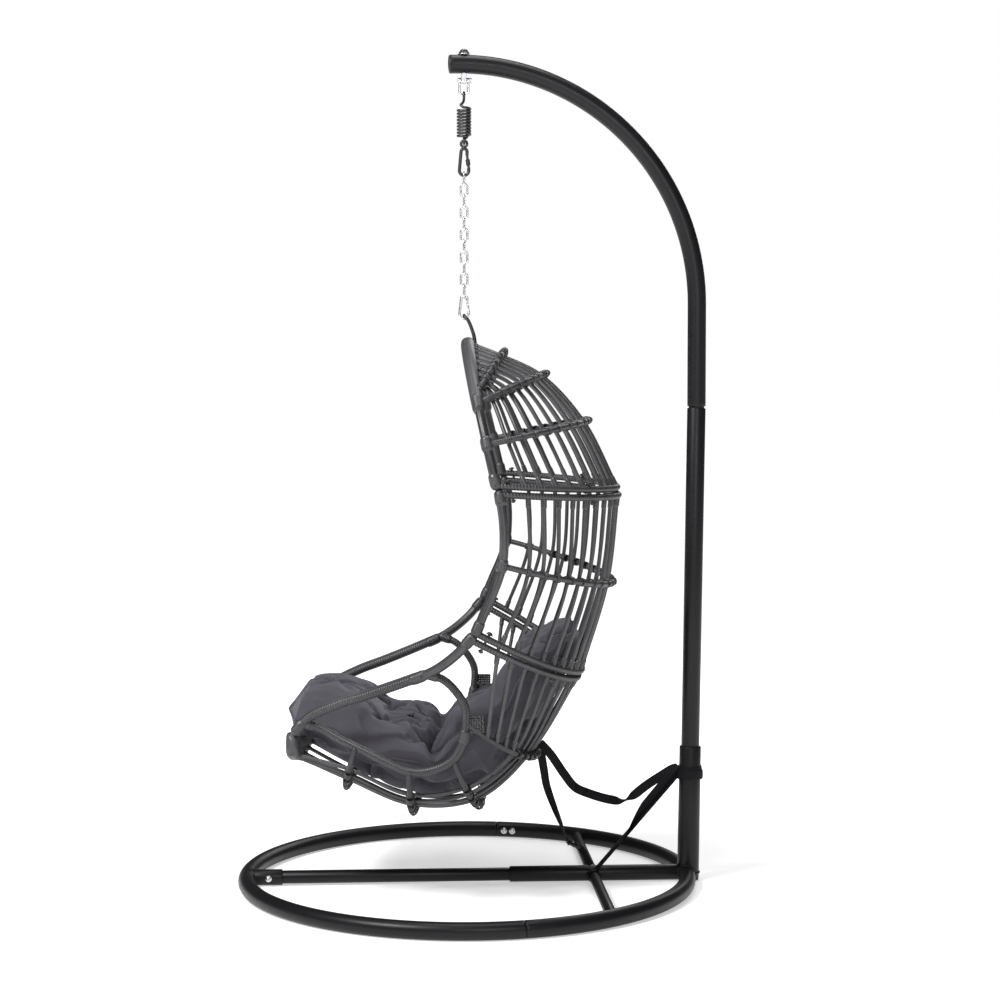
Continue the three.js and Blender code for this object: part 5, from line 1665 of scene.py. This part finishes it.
def section_bolts():
    for joint, upper, lower in (("hood", HOOD_RING, BACK_TOP), ("seat", BACK_BOTTOM, SEAT_RING)):
        for i, angle in enumerate(SECTION_BOLT_ANGLES):
            top, bottom = upper.at(angle), lower.at(angle)
            along = (bottom - top) / np.linalg.norm(bottom - top)
            seat = SECTION_RING + 0.0024
            bolt = screw_head(Shape(), top - along * seat, -along, 0.0062, 0.0042)
            tube_between(bolt, top - along * seat, bottom + along * (seat + 0.006), 0.003, 16, 0.0006)
            nut = [(0.003, 0), (0.0056, 0), (0.0056, 0.004), (0.003, 0.004), (0.003, 0)]
            turned(bolt, nut, bottom + along * seat, along, 6, smooth=False)
            node = f"{joint}_bolt_{i + 1}"
            place(bolt).object("looks_" + node, STEEL, "black_steel", "chair", [node])


hood_arch()
hood_hoops()
section_ring(HOOD_RING, "hood_ring")
hood_spindles()
section_ring(BACK_TOP, "back_top_ring")
back_section()
section_ring(BACK_BOTTOM, "back_bottom_ring")
section_ring(SEAT_RING, "seat_ring")
seat_ribs()
seat_spindles()
arms()
side_loops()
front_rail()
woven_patches()
hang_loop()
section_bolts()


# ---------------------------------------------------------------- cushion
CUSHION_LINE = [
    (-0.408, 0.408),
    (-0.340, 0.388),
    (-0.250, 0.338),
    (-0.150, 0.288),
    (-0.050, 0.276),
    (0.040, 0.306),
    (0.110, 0.380),
    (0.172, 0.474),
    (0.222, 0.560),
    (0.242, 0.612),
]
CUSHION_WIDTHS = [0.470, 0.480, 0.500, 0.540, 0.565, 0.575, 0.570, 0.540, 0.490, 0.450]
CUSHION_LIFT = [0.020, 0.040, 0.065, 0.075, 0.078, 0.080, 0.080, 0.065, 0.045, 0.035]
CUSHION_FORWARD = [0.0, 0.0, 0.0, 0.0, 0.010, 0.035, 0.070, 0.095, 0.095, 0.090]
CUSHION_CROWN = [0.050, 0.060, 0.056, 0.042, 0.036, 0.048, 0.042, 0.010, 0.026, 0.036]
CUSHION_START = 0.100  # its thickness under the crown, before the filling swells it
TUFTS = [(x, v) for v in (0.27, 0.44, 0.68, 0.88) for x in (-0.42, 0.42)]
TUFTS += [(0.0, v) for v in (0.12, 0.36, 0.56, 0.78)]
TUFT_DEPTH, TUFT_REACH, TUFT_PIN = 0.86, 0.040, 0.013
CREASES, CREASE_DEPTH, CREASE_REACH = 7, 0.010, 0.055  # folds round a tuft
DIMPLE_DEPTH = 0.018
LOBES = [0.0, 0.26, 0.45, 0.71, 1.0]  # shares of the cushion's line where its lobes meet
LOBE_DEPTH = 0.024
VALLEYS = [(0.15, 0.20), (0.46, 0.35), (0.71, 0.45)]  # where the pad folds across, and how deep
CUSHION_VOXEL = 0.0055
PIPING = 0.0026
PROUD = 0.008  # how far the fabric may stand out of the cushion's space, on the sitter's side
SITTER = (0.0, -0.06, 0.80)
SWELL_FRAMES = 20


def along_cushion(values, v):
    """A list given at the cushion line's own points, at shares v of the way along."""
    curve = smooth_curve(np.atleast_2d(np.asarray(values, float).T).T)
    at = np.linspace(0, 1, len(curve))
    return np.stack([np.interp(v, at, curve[:, k]) for k in range(curve.shape[1])], -1)


def cushion_middle(across, v):
    """Points of the cushion's middle surface, and the way up out of it there."""
    line = along_cushion([(0, y, z) for y, z in CUSHION_LINE], v)
    ahead = along_cushion([(0, y, z) for y, z in CUSHION_LINE], np.clip(v + 0.004, 0, 1))
    behind = along_cushion([(0, y, z) for y, z in CUSHION_LINE], np.clip(v - 0.004, 0, 1))
    tangent = (ahead - behind) / np.linalg.norm(ahead - behind, axis=-1)[..., None]
    side = along_cushion(list(zip(CUSHION_WIDTHS, CUSHION_FORWARD, CUSHION_LIFT)), v)
    dish = np.abs(across) ** 2.4
    x = across * side[..., 0] / 2
    y = line[..., 1] - side[..., 1] * dish
    middle = np.stack([x, y, line[..., 2] + side[..., 2] * dish], -1)
    return middle, np.stack([np.zeros_like(v), -tangent[..., 2], tangent[..., 1]], -1)


def cushion_form(columns=72, rows=110):
    """The unfilled cushion: two sheets that meet at the seam, drawn together at the tufts."""
    angle = np.linspace(0, 2 * math.pi, 2 * columns, endpoint=False)[None, :]
    v = ((1 - np.cos(np.linspace(0.05, math.pi - 0.05, rows))) / 2)[:, None]
    fullness = np.sin(math.pi * v) ** 0.3
    squarish = lambda value: np.sign(value) * np.abs(value) ** 0.7
    across = squarish(np.cos(angle)) * fullness
    up = squarish(np.sin(angle)) * fullness
    middle, out = cushion_middle(across, v * np.ones_like(across))
    drawn = np.ones_like(across)
    for x, tuft_v in TUFTS:
        tuft, _ = cushion_middle(np.array(x), np.array(tuft_v))
        near = np.linalg.norm(middle - tuft, axis=-1)
        drawn *= 1 - TUFT_DEPTH * np.exp(-((near / TUFT_REACH) ** 2))
    for valley_v, share in VALLEYS:
        drawn *= 1 - share * np.exp(-(((v - valley_v) / 0.022) ** 2))
    crown = along_cushion([(rise, 0.1 * i, 0) for i, rise in enumerate(CUSHION_CROWN)], v)[..., 0]
    rise = up * drawn * (CUSHION_START / 2 + np.where(up > 0, crown, 0))
    points = middle + out * rise[..., None]
    shape = Shape()
    faces = [grid_faces(rows, 2 * columns, False)]
    first = np.arange(2 * columns)[::-1]
    faces += [first[None, :], ((rows - 1) * 2 * columns + np.arange(2 * columns))[None, :]]
    shape.add(points.reshape(-1, 3), faces)
    return place(shape)


def seam_path():
    """The seam's line round the unfilled cushion, in the frame's own space."""
    v = (1 - np.cos(np.linspace(0.05, math.pi - 0.05, 160))) / 2
    fullness = np.sin(math.pi * v) ** 0.3
    right, _ = cushion_middle(fullness, v)
    left, _ = cushion_middle(-fullness, v)
    return chair_space(spaced(np.vstack([right, left[::-1]]), 0.006, closed=True))


def coordinates_of(mesh):
    """A mesh's points as an array."""
    flat = np.empty(len(mesh.vertices) * 3, np.float32)
    mesh.vertices.foreach_get("co", flat)
    return flat.reshape(-1, 3).astype(float)


def baked(obj):
    """Leaves obj with the mesh that its modifiers make, and without them."""
    evaluated = obj.evaluated_get(bpy.context.evaluated_depsgraph_get())
    mesh = bpy.data.meshes.new_from_object(evaluated)
    obj.modifiers.clear()
    obj.data = mesh
    return obj


def over_line(points):
    """Each point's share of the way along the cushion, the way up there, and its height over the line."""
    v = np.linspace(0, 1, 240)
    line, out = cushion_middle(np.zeros_like(v), v)
    origin = chair_space(line)
    up = chair_space(line + out) - origin
    across = chair_space(np.array([1.0, 0, 0])) - chair_space(np.zeros(3))
    flat = points - (points @ across)[:, None] * across
    spine = origin - (origin @ across)[:, None] * across
    nearest = np.linalg.norm(flat[:, None] - spine[None], axis=2).argmin(1)
    return v[nearest], up[nearest], ((flat - spine[nearest]) * up[nearest]).sum(1)


def creased(obj):
    """Presses in the valleys between the lobes and the folds that run out from each tuft."""
    points = coordinates_of(obj.data)
    v, up, height = over_line(points)
    depth = LOBE_DEPTH * np.abs(np.cos(math.pi * np.interp(v, LOBES, range(len(LOBES))))) ** 5
    for i, (x, tuft_v) in enumerate(TUFTS):
        centre, out = cushion_middle(np.array(x), np.array(tuft_v))
        origin = chair_space(centre)
        across = chair_space(centre + np.array([1.0, 0, 0])) - origin
        along = np.cross(chair_space(centre + out) - origin, across)
        a, b = (points - origin) @ across, (points - origin) @ along
        turn, away = np.arctan2(b, a), np.hypot(a, b)
        fold = np.abs(np.cos(turn * CREASES / 2 + 1.3 * i + 6 * away)) ** 6
        reach = CREASE_REACH * (1 + 0.35 * np.sin(3 * turn + i))
        near = np.linalg.norm(points - origin, axis=1) < 0.15
        depth += near * CREASE_DEPTH * fold * np.exp(-(((away - 0.03) / reach) ** 2))
        depth += near * DIMPLE_DEPTH * np.exp(-((away / 0.022) ** 2))
    depth *= np.clip(height / 0.03, 0, 1)
    obj.data.vertices.foreach_set("co", (points - up * depth[:, None]).astype(np.float32).ravel())
    obj.data.update()


def tuft_points():
    """Where the tufts hold the pad, in the frame's own space."""
    x, v = (np.array(column) for column in zip(*TUFTS))
    middle, _ = cushion_middle(x, v)
    return chair_space(middle)


def filled(obj):
    """Swells the cushion with Cloth, held at its tufts."""
    group = obj.vertex_groups.new(name="tufts")
    points = coordinates_of(obj.data)
    near = np.linalg.norm(points[:, None] - tuft_points()[None], axis=2).min(1)
    group.add([int(i) for i in np.nonzero(near < TUFT_PIN)[0]], 1.0, "ADD")
    cloth = obj.modifiers.new("filling", "CLOTH")
    settings = cloth.settings
    settings.quality = 6
    settings.mass = 0.25
    settings.tension_stiffness = 18
    settings.compression_stiffness = 18
    settings.shear_stiffness = 6
    settings.bending_stiffness = 0.15
    settings.use_pressure = True
    settings.uniform_pressure_force = 4.5
    settings.shrink_min = -0.18
    settings.vertex_group_mass = "tufts"
    settings.effector_weights.gravity = 0
    cloth.collision_settings.use_collision = False
    cloth.point_cache.frame_start, cloth.point_cache.frame_end = 1, SWELL_FRAMES
    for number in range(1, SWELL_FRAMES + 1):
        bpy.context.scene.frame_set(number)
    baked(obj)
    bpy.context.scene.frame_set(1)
    return obj


def kept_inside(points, hull):
    """Points moved back to the surface of a mesh object, or to PROUD outside it on the sitter's side."""
    tree = BVHTree.FromObject(hull, bpy.context.evaluated_depsgraph_get())
    turn = hull.matrix_world
    back = turn.inverted()
    sitter = Vector(SITTER)
    moved = points.copy()
    for i, p in enumerate(points):
        near, normal, _, _ = tree.find_nearest(back @ Vector(p))
        near, normal = turn @ near, (turn.to_3x3() @ normal).normalized()
        away = Vector(p) - near
        if away.dot(normal) > 0:
            open_side = normal.dot((sitter - near).normalized()) > 0
            allowed = PROUD * (1 - math.exp(-away.length / PROUD)) if open_side else 0.0005
            moved[i] = np.array(near + away.normalized() * min(allowed, away.length))
    return moved


def filling_form():
    """The unfilled cushion as an even mesh."""
    pad = cushion_form().object("looks_cushion", FABRIC, "cushion_fabric")
    remesh = pad.modifiers.new("even", "REMESH")
    remesh.mode = "VOXEL"
    remesh.voxel_size = CUSHION_VOXEL
    remesh.use_smooth_shade = True
    return baked(pad)


def fitted(pad, hull):
    """Keeps the pad in its space, smooths it and presses its folds in."""
    points = kept_inside(coordinates_of(pad.data), hull)
    pad.data.vertices.foreach_set("co", points.astype(np.float32).ravel())
    pad.data.update()
    settled = pad.modifiers.new("settled", "SMOOTH")
    settled.factor, settled.iterations = 0.5, 4
    baked(pad)
    creased(pad)


def moved_seam(seam, before, pad):
    """The seam's line, carried along by the points next to it and laid on the pad."""
    after = coordinates_of(pad.data)
    close = [np.argsort(np.linalg.norm(before - p, axis=1))[:6] for p in seam]
    moved = seam + np.array([after[i].mean(0) - before[i].mean(0) for i in close])
    for _ in range(3):
        moved = (np.roll(moved, 1, axis=0) + 2 * moved + np.roll(moved, -1, axis=0)) / 4
    surface = BVHTree.FromObject(pad, bpy.context.evaluated_depsgraph_get())
    return np.array([surface.find_nearest(Vector(p))[0] for p in moved])


def cushion():
    pad = filling_form()
    before = coordinates_of(pad.data)
    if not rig.quick():
        filled(pad)
    fitted(pad, frame["nodes"]["cushion"])
    seam = moved_seam(seam_path(), before, pad)
    finer = pad.modifiers.new("finer", "SUBSURF")
    finer.levels = finer.render_levels = 1
    baked(pad)
    pad.data.materials.clear()
    pad.data.materials.append(FABRIC)
    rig.ride(pad, "chair")
    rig.replaces(pad, "cushion")
    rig.padded(pad, fill=0.55)
    line = spaced(seam, 0.002, closed=True)
    piping = sweep(Shape(), line, PIPING, 12, relief=bundled(2, 0.0004), closed=True)
    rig.padded(piping.object("looks_cushion_piping", FABRIC, "cushion_fabric", "chair"), fill=0.9)


cushion()

box = {
    "cad": [list(map(float, corner)) for corner in CAD_BOX],
    "visual": [list(map(float, corner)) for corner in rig.bounds()],
}
with open("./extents.json", "w") as out:
    json.dump(box, out)
